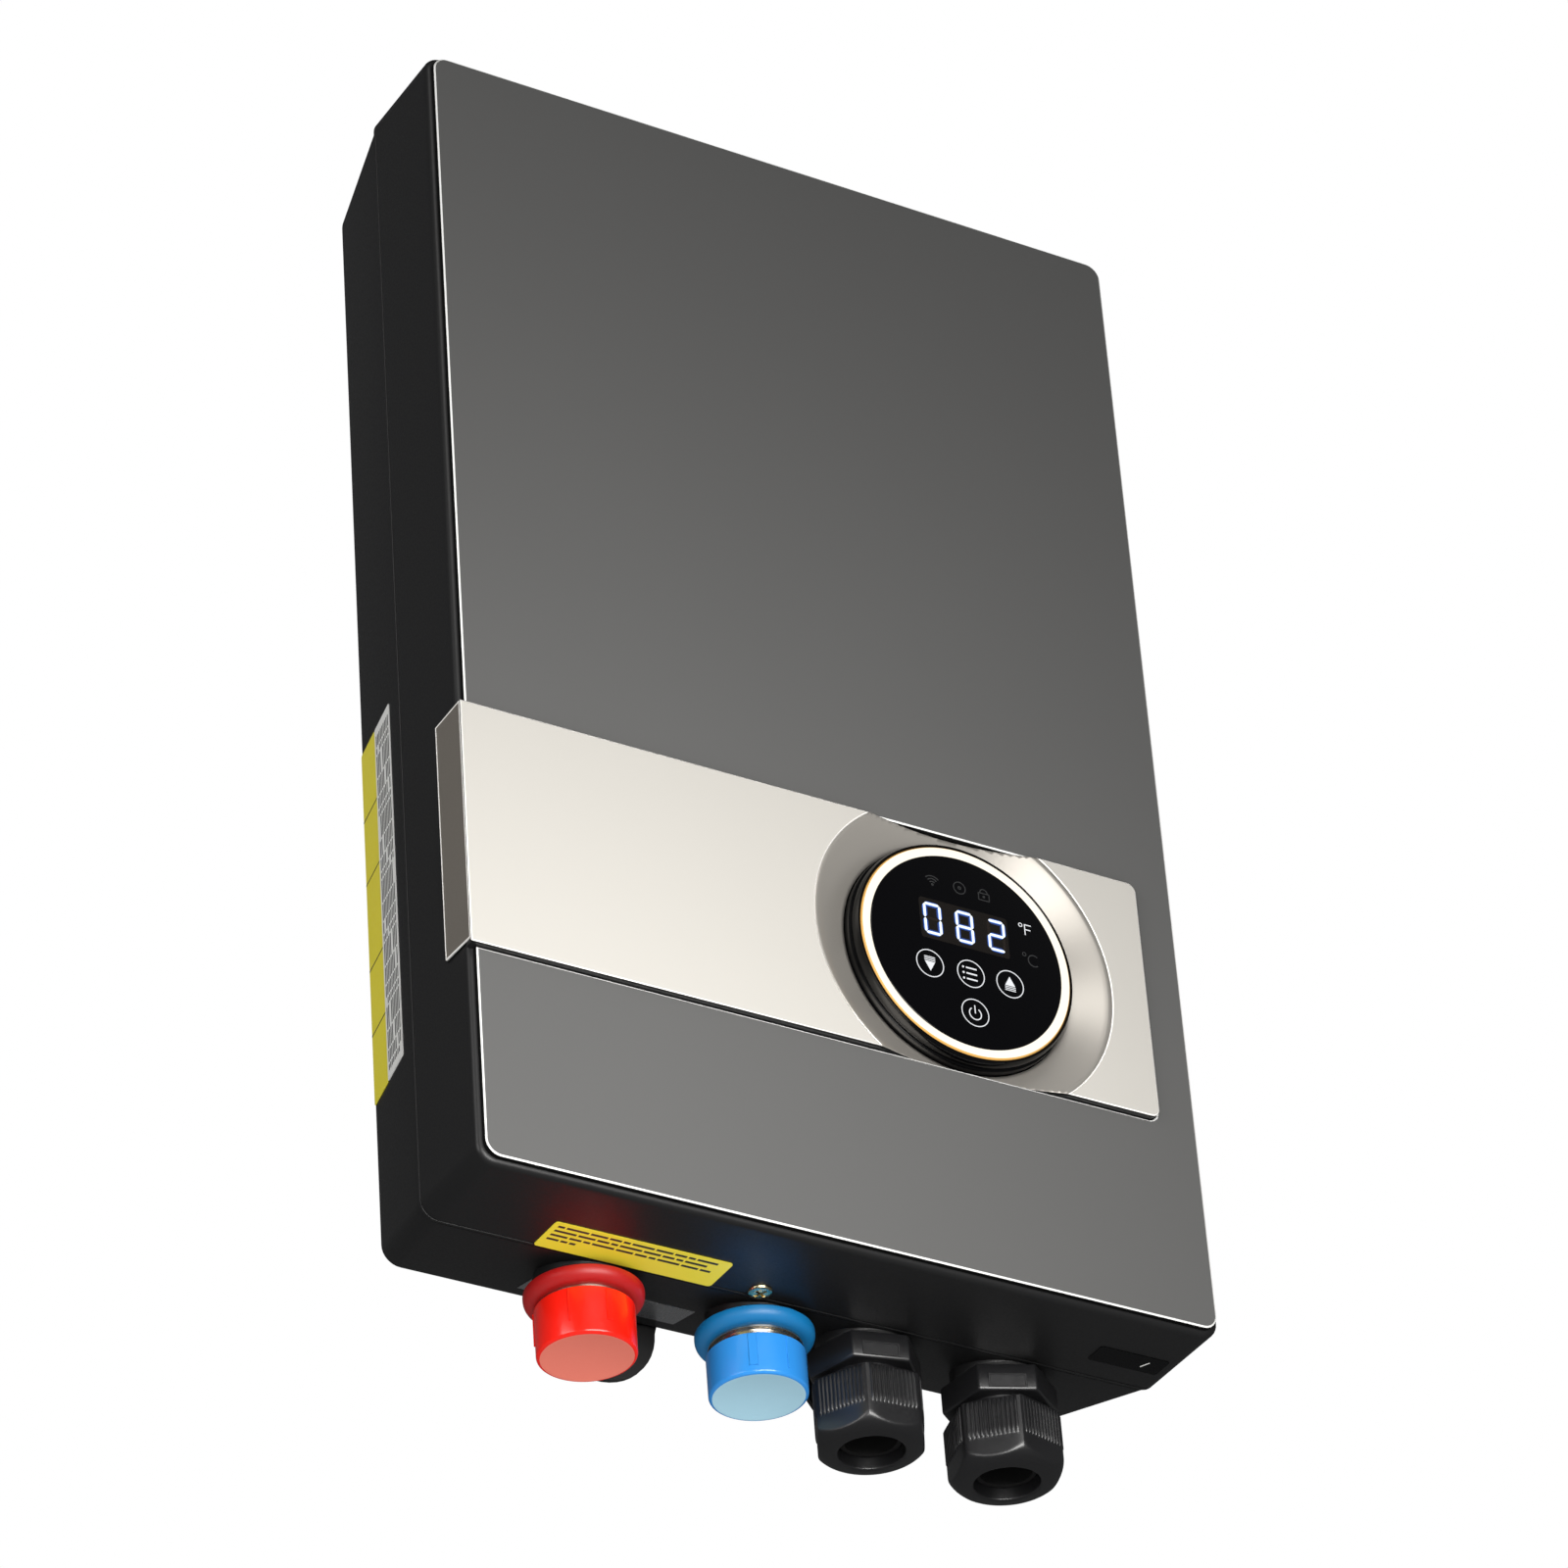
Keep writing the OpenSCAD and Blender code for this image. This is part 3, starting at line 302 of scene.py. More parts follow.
def lathe(bm, profile, centre, axis="z", segments=96, close=False, materials=None):
    """Turns a profile of (radius, height) points; axis y counts height forwards from the wall."""
    rings = []
    for r, h in profile:
        points = []
        for k in range(segments):
            a = TAU * k / segments
            if axis == "z":
                points.append((centre.x + r * math.cos(a), centre.y + r * math.sin(a), h))
            else:
                points.append((centre.x + r * math.cos(a), -h, centre.z + r * math.sin(a)))
        rings.append([bm.verts.new(points[0])] if r < 1e-7 else ring_of(bm, points))
    count = len(rings)
    for i in range(count if close else count - 1):
        a, b = rings[i], rings[(i + 1) % count]
        m = materials[i] if materials else 0
        if len(a) == 1 and len(b) == 1:
            continue
        if len(a) == 1 or len(b) == 1:
            tip, loop = (a[0], b) if len(a) == 1 else (b[0], a)
            for k in range(segments):
                bm.faces.new((tip, loop[k], loop[(k + 1) % segments])).material_index = m
        else:
            bridge(bm, a, b, m)
    return rings


def arc(centre, radius, start, end, steps=8):
    """Points on an arc of a flat outline, its angles in degrees from the first axis."""
    angles = [math.radians(start + (end - start) * k / steps) for k in range(steps + 1)]
    return [(centre[0] + radius * math.cos(a), centre[1] + radius * math.sin(a)) for a in angles]


def slab(bm, points, y0, y1, material=0):
    """A flat plate of the (x, z) outline, between two depths."""
    front = ring_of(bm, [(x, y0, z) for x, z in points])
    back = ring_of(bm, [(x, y1, z) for x, z in points])
    bridge(bm, front, back, material)
    bm.faces.new(front).material_index = material
    bm.faces.new(list(reversed(back))).material_index = material
    return front, back


def poly_with_holes(bm, loops, depth, material=0):
    """A flat face at one depth, bounded by an outer loop and hole loops of vertices made before."""
    edges = []
    for loop in loops:
        for i, v in enumerate(loop):
            other = loop[(i + 1) % len(loop)]
            edge = bm.edges.get((v, other)) or bm.edges.new((v, other))
            edges.append(edge)
    made = bmesh.ops.triangle_fill(bm, use_beauty=True, use_dissolve=False, edges=edges,
                                   normal=(0, -1 if depth else 1, 0))
    for item in made["geom"]:
        if isinstance(item, bmesh.types.BMFace):
            item.material_index = material


def loft(bm, layers, steps=8):
    """Rounded-rectangle rings, each (depth from wall, width, height, corner radius), skinned in order."""
    rings = []
    for depth, width, height, radius in layers:
        rings.append(ring_of(bm, [(x, -depth, z) for x, z in outline(width, height, radius, 0, steps)]))
    for a, b in zip(rings, rings[1:]):
        bridge(bm, a, b)
    return rings


def circle_xz(bm, centre, radius, depth, segments=96):
    return ring_of(bm, [(centre.x + radius * math.cos(TAU * k / segments), -depth,
                         centre.z + radius * math.sin(TAU * k / segments)) for k in range(segments)])


# ---------- the case ----------

def make_front_cover():
    """Folded steel cover: open back with a hemmed edge, rounded front bend and a round opening."""
    bm = bmesh.new()
    width, height = COVER_HI.x - COVER_LO.x, COVER_HI.z - COVER_LO.z
    seam, front = -SEAM_Y, -WALL_Y
    bend = 1.8 * MM

    def layer(depth, inset, corner=CORNER):
        return depth, width - 2 * inset, height - 2 * inset, max(corner - inset, MM)

    hem = 1.15 * MM
    layers = [layer(seam + 0.3 * MM, COVER_WALL), layer(seam, COVER_WALL - 0.3 * MM), layer(seam, 0.35 * MM),
              layer(seam + 0.12 * MM, 0.12 * MM), layer(seam + 0.35 * MM, 0), layer(seam + hem, 0),
              layer(seam + hem + 0.12 * MM, 0.32 * MM), layer(seam + hem + 0.42 * MM, 0.36 * MM),
              layer(seam + hem + 0.6 * MM, 0.05 * MM), layer(seam + hem + 0.9 * MM, 0),
              layer(front - bend - 1 * MM, 0)]
    for k in range(7):
        a = math.radians(90 * k / 6)
        layers.append(layer(front - bend * (1 - math.sin(a)), bend * (1 - math.cos(a))))
    rings = loft(bm, layers)
    inner = loft(bm, [layer(seam + 0.3 * MM, COVER_WALL), layer(front - COVER_WALL, COVER_WALL)])
    hole_r = OPENING_R
    front_hole = circle_xz(bm, DISPLAY, hole_r, front)
    back_hole = circle_xz(bm, DISPLAY, hole_r, -COLLAR_Y)
    collar_rim = circle_xz(bm, DISPLAY, hole_r + 4 * MM, -COLLAR_Y)
    collar_root = circle_xz(bm, DISPLAY, hole_r + 4 * MM, front - COVER_WALL)
    poly_with_holes(bm, [rings[-1], front_hole], front)
    bridge(bm, front_hole, back_hole)
    bridge(bm, back_hole, collar_rim)
    bridge(bm, collar_rim, collar_root)
    poly_with_holes(bm, [inner[-1], collar_root], 0)
    piece = finish_mesh("cover_tray", bm, ["cover"], 38, 0.00001)
    return place(piece, "cover", "black_steel", "front_cover")


def inset_points(points, distance):
    """A closed (x, z) outline moved inwards by a distance much smaller than its features."""
    area = sum(a[0] * b[1] - b[0] * a[1] for a, b in zip(points, points[1:] + points[:1]))
    turn = 1 if area > 0 else -1
    moved = []
    count = len(points)
    for i, (x, z) in enumerate(points):
        before, after = Vector(points[i - 1]), Vector(points[(i + 1) % count])
        here = Vector((x, z))
        u = (here - before).normalized() if (here - before).length > 1e-9 else (after - here).normalized()
        v = (after - here).normalized() if (after - here).length > 1e-9 else u
        nu, nv = Vector((-u.y, u.x)) * turn, Vector((-v.y, v.x)) * turn
        mid = (nu + nv).normalized()
        shift = here + mid * (distance / max(0.4, mid.dot(nu)))
        moved.append((shift.x, shift.y))
    return moved


def framed_face(bm, points, front, edge, drop, face_material, edge_material):
    """A flat face with a bevelled border; returns the border's outer loop of vertices."""
    outer = ring_of(bm, [(x, front + drop, z) for x, z in points])
    inner = ring_of(bm, [(x, front, z) for x, z in inset_points(points, edge)])
    bridge(bm, outer, inner, edge_material)
    bm.faces.new(inner).material_index = face_material
    return outer


def make_front_panel():
    """Glossy C-shaped panel that frames the band, its bevelled edge coloured near-white as a painted
    highlight.
    """
    bm = bmesh.new()
    r, notch_r, gap = 5 * MM, 3.4 * MM, 0.4 * MM
    left, right, low, high = PANEL_LO.x, PANEL_HI.x, PANEL_LO.z, PANEL_HI.z
    notch_low, notch_high, notch_right = BAND_LO.z - gap, BAND_HI.z + gap, BAND_HI.x + gap
    points = arc((left + r, high - r), r, 180, 90) + arc((right - r, high - r), r, 90, 0)
    points += arc((right - r, low + r), r, 0, -90) + arc((left + r, low + r), r, 270, 180)
    points += [(left, notch_low)]
    points += arc((notch_right - notch_r, notch_low + notch_r), notch_r, -90, 0)
    points += arc((notch_right - notch_r, notch_high - notch_r), notch_r, 0, 90)
    points += [(left, notch_high)]
    # the border takes material 1, the near-white painted highlight
    edge = framed_face(bm, points, PANEL_LO.y, 0.5 * MM, 0.3 * MM, 0, 1)
    back = ring_of(bm, [(x, PANEL_HI.y, z) for x, z in points])
    bridge(bm, edge, back, 2)
    bm.faces.new(list(reversed(back))).material_index = 2
    piece = finish_mesh("panel_sheet", bm, ["panel", "panel_highlight_edge", "shadow_black"], 25)
    return place(piece, "cover", "panel_grey", "front_panel")


def make_rear_shell():
    """Tapered steel shell: a rounded back edge, a rim inside the cover, flat bosses for the fittings."""
    bm = bmesh.new()
    plate_y = 1.5 * MM
    front_d, rim_end = SHELL_FRONT, -SHELL_LO.y
    width, height = SHELL_HI.x - SHELL_LO.x, SHELL_HI.z - SHELL_LO.z
    lean, wall, soft = SHELL_LEAN, 2.5 * MM, 2.6 * MM

    def inset_at(depth):
        return lean * (front_d - depth) / (front_d - plate_y)

    def layer(depth, inset, radius=CORNER):
        return depth, width - 2 * inset, height - 2 * inset, max(radius, 0.8 * MM)

    rim_out, rim_in = 1.1 * MM, 2.6 * MM
    layers = []
    for k in range(7):
        a = math.radians(90 * k / 6)
        depth = plate_y + soft * (1 - math.sin(a))
        layers.append(layer(depth, inset_at(depth) + soft * (1 - math.cos(a))))
    layers = [layer(plate_y, inset_at(plate_y) + soft, CORNER - 1 * MM)] + layers[::-1]
    layers += [layer(front_d - 0.5 * MM, inset_at(front_d - 0.5 * MM)), layer(front_d - 0.15 * MM, 0.1 * MM),
               layer(front_d, 0.4 * MM), layer(front_d, rim_out),
               layer(rim_end, rim_out), layer(rim_end, rim_in),
               layer(front_d - wall, rim_in + 0.2 * MM), layer(plate_y + wall, lean + wall)]
    rings = loft(bm, layers)
    bm.faces.new(rings[0])
    bm.faces.new(list(reversed(rings[-1])))
    for node in ("hot_nipple", "cold_nipple", "gland_body_a", "gland_body_b"):
        centre = axis_of(node)
        base = BOTTOM
        lathe(bm, [(0, base), (13.9 * MM, base), (14.3 * MM, base + 0.12 * MM), (14.5 * MM, base + 0.45 * MM),
                   (14.5 * MM, base + 9.5 * MM), (0, base + 9.5 * MM)], centre, "z", 72)
    piece = finish_mesh("shell_tray", bm, ["shell"], 38, 0.000005)
    return place(piece, "chassis", "shell_black", "rear_shell")


def make_accent_band():
    """Metal-finish skin with a round dish pressed into it, cut off flush along the band's long edges."""
    bm = bmesh.new()
    low, high, right = BAND_LO.z, BAND_HI.z, BAND_HI.x
    left = COVER_LO.x - 1.0 * MM
    r, face = 3 * MM, -BAND_Y
    inner_r = PUCK_R + 0.3 * MM
    segments, rows = 360, 10

    def dish_depth(radius):
        return face - DISH_SLOPE * (DISH_R - radius)

    rings = []
    for i in range(rows + 1):
        radius = inner_r + (DISH_R - inner_r) * i / rows
        depth = dish_depth(radius) - (0.15 * MM if i == rows else 0)
        rings.append(circle_xz(bm, DISPLAY, radius, depth, segments))
    for a, b in zip(rings, rings[1:]):
        bridge(bm, a, b, 1)
    for z, side in ((low, -1), (high, 1)):
        bmesh.ops.bisect_plane(bm, geom=bm.verts[:] + bm.edges[:] + bm.faces[:], dist=1e-6,
                               plane_co=(0, 0, z), plane_no=(0, 0, side), clear_outer=True)
    reach_low = math.asin((low - DISPLAY.z) / DISH_R)
    reach_high = math.asin((high - DISPLAY.z) / DISH_R)
    arc_steps = 70

    def rim(a0, a1):
        return [(DISPLAY.x + DISH_R * math.cos(a0 + (a1 - a0) * k / arc_steps),
                 DISPLAY.z + DISH_R * math.sin(a0 + (a1 - a0) * k / arc_steps)) for k in range(arc_steps + 1)]

    right_part = rim(reach_high, reach_low) + arc((right - r, low + r), r, -90, 0)
    right_part += arc((right - r, high - r), r, 0, 90)
    left_part = rim(math.pi - reach_low, math.pi - reach_high) + [(left, high), (left, low)]
    # each face's border is material 2, the near-white painted highlight
    for points in (right_part, left_part):
        framed_face(bm, points, -face, 0.42 * MM, 0.15 * MM, 0, 2)
    bmesh.ops.recalc_face_normals(bm, faces=bm.faces)
    for f in bm.faces:
        if f.normal.y > 0:
            f.normal_flip()
    skin = finish_skin(bm, "band_skin", ["band", "dish", "band_highlight_edge"] + ["shadow_black"] * 3, BAND_SKIN, 3)
    return place(skin, "cover", "champagne", "accent_band")


def finish_skin(bm, name, materials, thickness, rim_offset):
    """An open skin given its thickness backwards, its cut rim in the materials that follow the skin's own."""
    piece = new_piece(name, bm, materials, 12)
    solid = piece.modifiers.new("thickness", "SOLIDIFY")
    solid.thickness = thickness
    solid.offset = -1
    solid.material_offset_rim = rim_offset
    return piece


def make_band_wrap():
    """The band's return along the left side of the case, its champagne darkened as painted shade, with its
    light outline in the near-white painted highlight.
    """
    bm = bmesh.new()
    face_x, back_x = COVER_LO.x - 1.0 * MM, COVER_LO.x - 0.5 * MM
    y0, y1 = BAND_Y + BAND_SKIN, PANEL_Y + 13.7 * MM
    z0, z1 = BAND_LO.z + 1.5 * MM, BAND_HI.z
    corners = [(y0, z0), (y1, z0 + 0.6 * MM), (y1, z1 - 0.6 * MM), (y0, z1)]
    rim = 0.28 * MM
    mid_y, mid_z = (y0 + y1) / 2, (z0 + z1) / 2

    def loop_at(x, inset):
        return ring_of(bm, [(x, y + math.copysign(inset, mid_y - y), z + math.copysign(inset, mid_z - z))
                            for y, z in corners])

    outer_back = loop_at(back_x, 0)
    outer = loop_at(face_x + 0.1 * MM, 0)
    edge = loop_at(face_x, rim * 0.3)
    inner = loop_at(face_x, rim)
    sunk = loop_at(face_x + 0.12 * MM, rim * 1.3)
    bridge(bm, outer_back, outer, 1)
    bridge(bm, outer, edge, 1)
    bridge(bm, edge, inner, 1)
    bridge(bm, inner, sunk, 1)
    bm.faces.new(sunk).material_index = 0
    bm.faces.new(list(reversed(outer_back))).material_index = 0
    piece = finish_mesh("band_wrap", bm, ["wrap", "band_highlight_edge"], 20)
    return place(piece, "cover", "champagne")


# ---------- the display ----------

def make_display():
    face = -GLASS_LO.y
    centre = DISPLAY
    cup = -HOUSE_HI.y
    collar = -COLLAR_Y

    bm = bmesh.new()
    lip = face - 0.4 * MM
    lathe(bm, [(0, cup), (PUCK_R - 2.4 * MM, cup), (PUCK_R - 2 * MM, cup + 0.4 * MM),
               (PUCK_R - 2 * MM, collar - 2 * MM), (OPENING_R + 3.6 * MM, collar - 2 * MM),
               (OPENING_R + 4 * MM, collar - 1.6 * MM),
               (OPENING_R + 4 * MM, collar), (PUCK_R, collar), (PUCK_R, lip - 4.4 * MM),
               (PUCK_R - 0.15 * MM, lip - 4.05 * MM), (PUCK_R - 0.9 * MM, lip - 3.8 * MM),
               (PUCK_R - 0.95 * MM, lip - 3.2 * MM), (PUCK_R - 0.7 * MM, lip - 2.9 * MM),
               (PUCK_R - 0.65 * MM, lip - 1.4 * MM), (PUCK_R - 1.0 * MM, lip - 0.6 * MM),
               (RING_R + 0.9 * MM, lip - 0.05 * MM), (RING_R + 0.3 * MM, lip), (RING_R, lip - 0.3 * MM),
               (RING_R, lip - 5.8 * MM), (PUCK_R - 4 * MM, lip - 6.2 * MM), (PUCK_R - 4 * MM, cup + 2 * MM),
               (0, cup + 2 * MM)], centre, "y", 160, close=False)
    puck = finish_mesh("display_puck", bm, ["gloss_black"], 32)
    place(puck, "cover", "black_plastic", "display_housing")

    bm = bmesh.new()
    depth = -RING_HI.y
    outer, inner = RING_R, GLASS_R + 0.05 * MM
    profile = [(inner, depth), (outer, depth),
               (outer, face - 0.75 * MM), (outer - 0.12 * MM, face - 0.4 * MM),
               (outer - 0.42 * MM, face - 0.1 * MM), (outer - 0.8 * MM, face), (inner + 0.25 * MM, face),
               (inner + 0.05 * MM, face - 0.08 * MM), (inner, face - 0.3 * MM)]
    lathe(bm, profile, centre, "y", 160, close=True, materials=[0, 1, 1, 1, 0, 0, 0, 0, 0])
    ring = finish_mesh("halo_ring", bm, ["ring", "ring_rim"], 40)
    place(ring, "cover", "light_ring", "light_ring")

    bm = bmesh.new()
    back = -GLASS_HI.y
    lathe(bm, [(0, back), (GLASS_R - 0.1 * MM, back), (GLASS_R, back + 0.1 * MM), (GLASS_R, face - 0.35 * MM),
               (GLASS_R - 0.1 * MM, face - 0.1 * MM), (GLASS_R - 0.35 * MM, face), (0, face)],
          centre, "y", 160)
    glass = finish_mesh("display_lens", bm, ["glass"], 50)
    place(glass, "cover", "dark_glass", "display_glass")


LAYER = 0.06 * MM      # thickness of a printed or lit mark on the glass
SEGMENTS_ON = {"0": "abcdef", "8": "abcdefg", "2": "abged"}


class Marks:
    """Flat marks on the glass, drawn in millimetres from the display's axis."""

    def __init__(self, name, material, level=0):
        self.name, self.material = name, material
        self.bm = bmesh.new()
        self.back = -GLASS_LO.y + level * LAYER
        self.front = self.back + LAYER

    def shape(self, points):
        spots = [(DISPLAY.x + x * MM, DISPLAY.z + z * MM) for x, z in points]
        slab(self.bm, spots, -self.back, -self.front)

    def bar(self, x0, z0, x1, z1, width):
        dx, dz = x1 - x0, z1 - z0
        size = math.hypot(dx, dz)
        nx, nz = -dz / size * width / 2, dx / size * width / 2
        self.shape([(x0 + nx, z0 + nz), (x1 + nx, z1 + nz), (x1 - nx, z1 - nz), (x0 - nx, z0 - nz)])

    def curve(self, x, z, radius, width, start=0, end=360, steps=48):
        spread = abs(end - start)
        steps = max(6, int(steps * spread / 360))
        turn = spread >= 359.9
        inner, outer = radius - width / 2, radius + width / 2
        for k in range(steps):
            a0 = math.radians(start + (end - start) * k / steps)
            a1 = math.radians(start + (end - start) * (k + 1) / steps)
            quad = [(x + outer * math.cos(a0), z + outer * math.sin(a0)),
                    (x + outer * math.cos(a1), z + outer * math.sin(a1)),
                    (x + inner * math.cos(a1), z + inner * math.sin(a1)),
                    (x + inner * math.cos(a0), z + inner * math.sin(a0))]
            front = [(DISPLAY.x + px * MM, -self.front, DISPLAY.z + pz * MM) for px, pz in quad]
            back = [(DISPLAY.x + px * MM, -self.back, DISPLAY.z + pz * MM) for px, pz in quad]
            vf, vb = ring_of(self.bm, front), ring_of(self.bm, back)
            self.bm.faces.new(vf)
            self.bm.faces.new(list(reversed(vb)))
            self.bm.faces.new((vf[1], vf[0], vb[0], vb[1]))
            self.bm.faces.new((vf[3], vf[2], vb[2], vb[3]))
            if not turn and k == 0:
                self.bm.faces.new((vf[0], vf[3], vb[3], vb[0]))
            if not turn and k == steps - 1:
                self.bm.faces.new((vf[2], vf[1], vb[1], vb[2]))

    def finish(self):
        piece = finish_mesh(self.name, self.bm, [self.material], 30, 0.000001)
        return place(piece, "cover", "dark_glass")


def segment_shapes(width, height, thick):
    """Seven segments of a digit, as mitred hexagons round its centre."""
    w, h, t = width / 2 - thick / 2, height / 2 - thick / 2, thick / 2
    cut = 0.12

    def along(x0, z0, x1, z1):
        dx, dz = x1 - x0, z1 - z0
        size = math.hypot(dx, dz)
        ux, uz = dx / size, dz / size
        a = (x0 + ux * cut, z0 + uz * cut)
        b = (x1 - ux * cut, z1 - uz * cut)
        return [a, (a[0] + (ux - uz) * t, a[1] + (uz + ux) * t),
                (b[0] - (ux + uz) * t, b[1] - (uz - ux) * t), b,
                (b[0] - (ux - uz) * t, b[1] - (uz + ux) * t), (a[0] + (ux + uz) * t, a[1] + (uz - ux) * t)]

    return {"a": along(-w, h, w, h), "b": along(w, h, w, 0), "c": along(w, 0, w, -h),
            "d": along(-w, -h, w, -h), "e": along(-w, 0, -w, -h), "f": along(-w, h, -w, 0),
            "g": along(-w, 0, w, 0)}


def make_digits():
    lit = Marks("digits_lit", "digit", 3)
    halo = Marks("digits_glow", "halo", 2)
    soft = Marks("digits_glow_soft", "halo_soft", 1)
    off = Marks("digits_off", "segment_off", 1)
    window = Marks("digits_window", "window", 0)
    window_edge = outline(31.5 * MM, 14.6 * MM, 1.0 * MM, 0, 5, (-0.15 * MM, 8.8 * MM))
    window.shape([(x / MM, z / MM) for x, z in window_edge])
    for text, x in (("0", -11.5), ("8", -0.05), ("2", 11.35)):
        for layer, width, height, thick in ((lit, 6.2, 11.2, 0.82), (halo, 6.55, 11.55, 1.2),
                                            (soft, 7.1, 12.1, 1.95)):
            for name, points in segment_shapes(width, height, thick).items():
                if name in SEGMENTS_ON[text]:
                    layer.shape([(x + px, 8.8 + pz) for px, pz in points])
        for name, points in segment_shapes(6.2, 11.2, 0.9).items():
            if name not in SEGMENTS_ON[text]:
                off.shape([(x + px, 8.8 + pz) for px, pz in points])
    for layer in (window, off, soft, halo, lit):
        layer.finish()


def make_icons():
    icon = Marks("icons_lit", "icon", 0)
    for x, z in ((-13.8, -7.7), (0.7, -7.7), (14.7, -7.7), (1.0, -21.6)):
        icon.curve(x, z, 4.75, 0.3)
    for x, side in ((-13.8, 1), (14.7, -1)):
        z = -7.7
        icon.shape([(x - 1.8, z + side * 0.6), (x + 1.8, z + side * 0.6), (x, z - side * 2.7)][::-side])
        for k in range(3):
            icon.bar(x - 1.9, z + side * (1.05 + 0.62 * k), x + 1.9, z + side * (1.05 + 0.62 * k), 0.26)
    for k in (-1, 0, 1):
        icon.bar(-0.9, -7.7 + 2.0 * k, 2.9, -7.7 + 2.0 * k, 0.5)
        icon.curve(-1.9, -7.7 + 2.0 * k, 0.2, 0.36, steps=12)
    icon.curve(1.0, -21.9, 2.1, 0.34, 125, 415)
    icon.bar(1.0, -21.8, 1.0, -18.9, 0.34)
    icon.curve(20.6, 15.5, 0.62, 0.26)
    icon.bar(22.1, 12.2, 22.1, 16.1, 0.32)
    icon.bar(21.95, 15.95, 24.4, 15.95, 0.32)
    icon.bar(22.1, 14.2, 24.1, 14.2, 0.32)
    icon.finish()

    dim = Marks("icons_dim", "icon_dim", 0)
    dim.curve(21.0, 4.9, 0.62, 0.3)
    dim.curve(24.3, 3.2, 2.0, 0.4, 50, 310)
    for radius in (1.2, 2.2, 3.2):
        dim.curve(-10.4, 21.6, radius, 0.36, 45, 135)
    dim.curve(-10.4, 21.7, 0.25, 0.4)
    dim.curve(-0.6, 23.1, 2.1, 0.34)
    dim.curve(-0.6, 23.1, 0.45, 0.34)
    for sx in (-1, 1):
        dim.bar(8.1 + sx * 1.9, 20.9, 8.1 + sx * 1.9, 23.4, 0.34)
    for z in (20.9, 23.4):
        dim.bar(6.05, z, 10.15, z, 0.34)
    dim.curve(8.1, 23.6, 1.3, 0.34, 0, 180)
    dim.curve(8.1, 22.2, 0.25, 0.4)
    dim.finish()


# ---------- water fittings ----------

CAP_RIB_LENGTH = 11 * MM


def make_cap(node, name, body_material, end_material, slot_name, ribs):
    """Push-on cap: a thin moulded cup with raised ribs from its open rim and a frosted end, whose colour is
    also lightened as painted light on its downward face.
    """
    lo, hi = lo_hi(node)
    centre = axis_of(node)
    outer = (hi.x - lo.x) / 2
    wall = 0.9 * MM
    top, end = hi.z, lo.z
    bm = bmesh.new()
    profile = [(0, end + 0.25 * MM), (outer * 0.82, end + 0.25 * MM), (outer * 0.86, end + 0.05 * MM),
               (outer - 1.1 * MM, end)]
    profile += arc((outer - 1.15 * MM, end + 1.1 * MM), 1.1 * MM, -88, 0, 7)
    profile += [(outer, top - 0.5 * MM)]
    profile += arc((outer - 0.25 * MM, top - 0.25 * MM), 0.25 * MM, 0, 90, 4)
    profile += [(outer - wall, top), (outer - wall, end + 1.2 * MM), (0, end + 1.2 * MM)]
    materials = [1 if i < 4 else 0 for i in range(len(profile))]
    lathe(bm, profile, centre, "z", 120, materials=materials)
    for angle, half_width, proud in ribs:
        a = math.radians(angle)
        across, out = Vector((-math.sin(a), math.cos(a), 0)), Vector((math.cos(a), math.sin(a), 0))
        low, high = top - CAP_RIB_LENGTH, top - 0.35 * MM
        half, soft = half_width * MM, 0.12 * MM

        def point(side, reach, z):
            return centre + across * side + out * (outer - 0.12 * MM + reach) + Vector((0, 0, z))

        loops = []
        for inset, reach in ((0, 0), (0, proud * MM + 0.12 * MM - soft), (soft, proud * MM + 0.12 * MM)):
            loops.append(ring_of(bm, [point(-half + inset, reach, high - inset),
                                      point(half - inset, reach, high - inset),
                                      point(half - inset, reach, low + inset),
                                      point(-half + inset, reach, low + inset)]))
        bridge(bm, loops[0], loops[1])
        bridge(bm, loops[1], loops[2])
        bm.faces.new(loops[2])
        bm.faces.new(list(reversed(loops[0])))
    piece = finish_mesh(name, bm, [body_material, end_material], 32)
    return place(piece, node, slot_name, node)


def make_marker_ring(node, name, material):
    lo, hi = lo_hi(node)
    centre = axis_of(node)
    outer, inner = (hi.x - lo.x) / 2, 13.1 * MM
    bm = bmesh.new()
    round_low, round_high = 3.2 * MM, 0.35 * MM
    profile = [(inner, hi.z), (inner, lo.z + 0.2 * MM), (inner + 0.2 * MM, lo.z)]
    profile += arc((outer - round_low, lo.z + round_low), round_low, -90, 0, 8)
    profile += arc((outer - round_high, hi.z - round_high), round_high, 0, 90, 4)
    lathe(bm, profile, centre, "z", 120, close=True)
    piece = finish_mesh(name, bm, [material], 35)
    return place(piece, "chassis", "marker_" + material.split("_")[1], node)


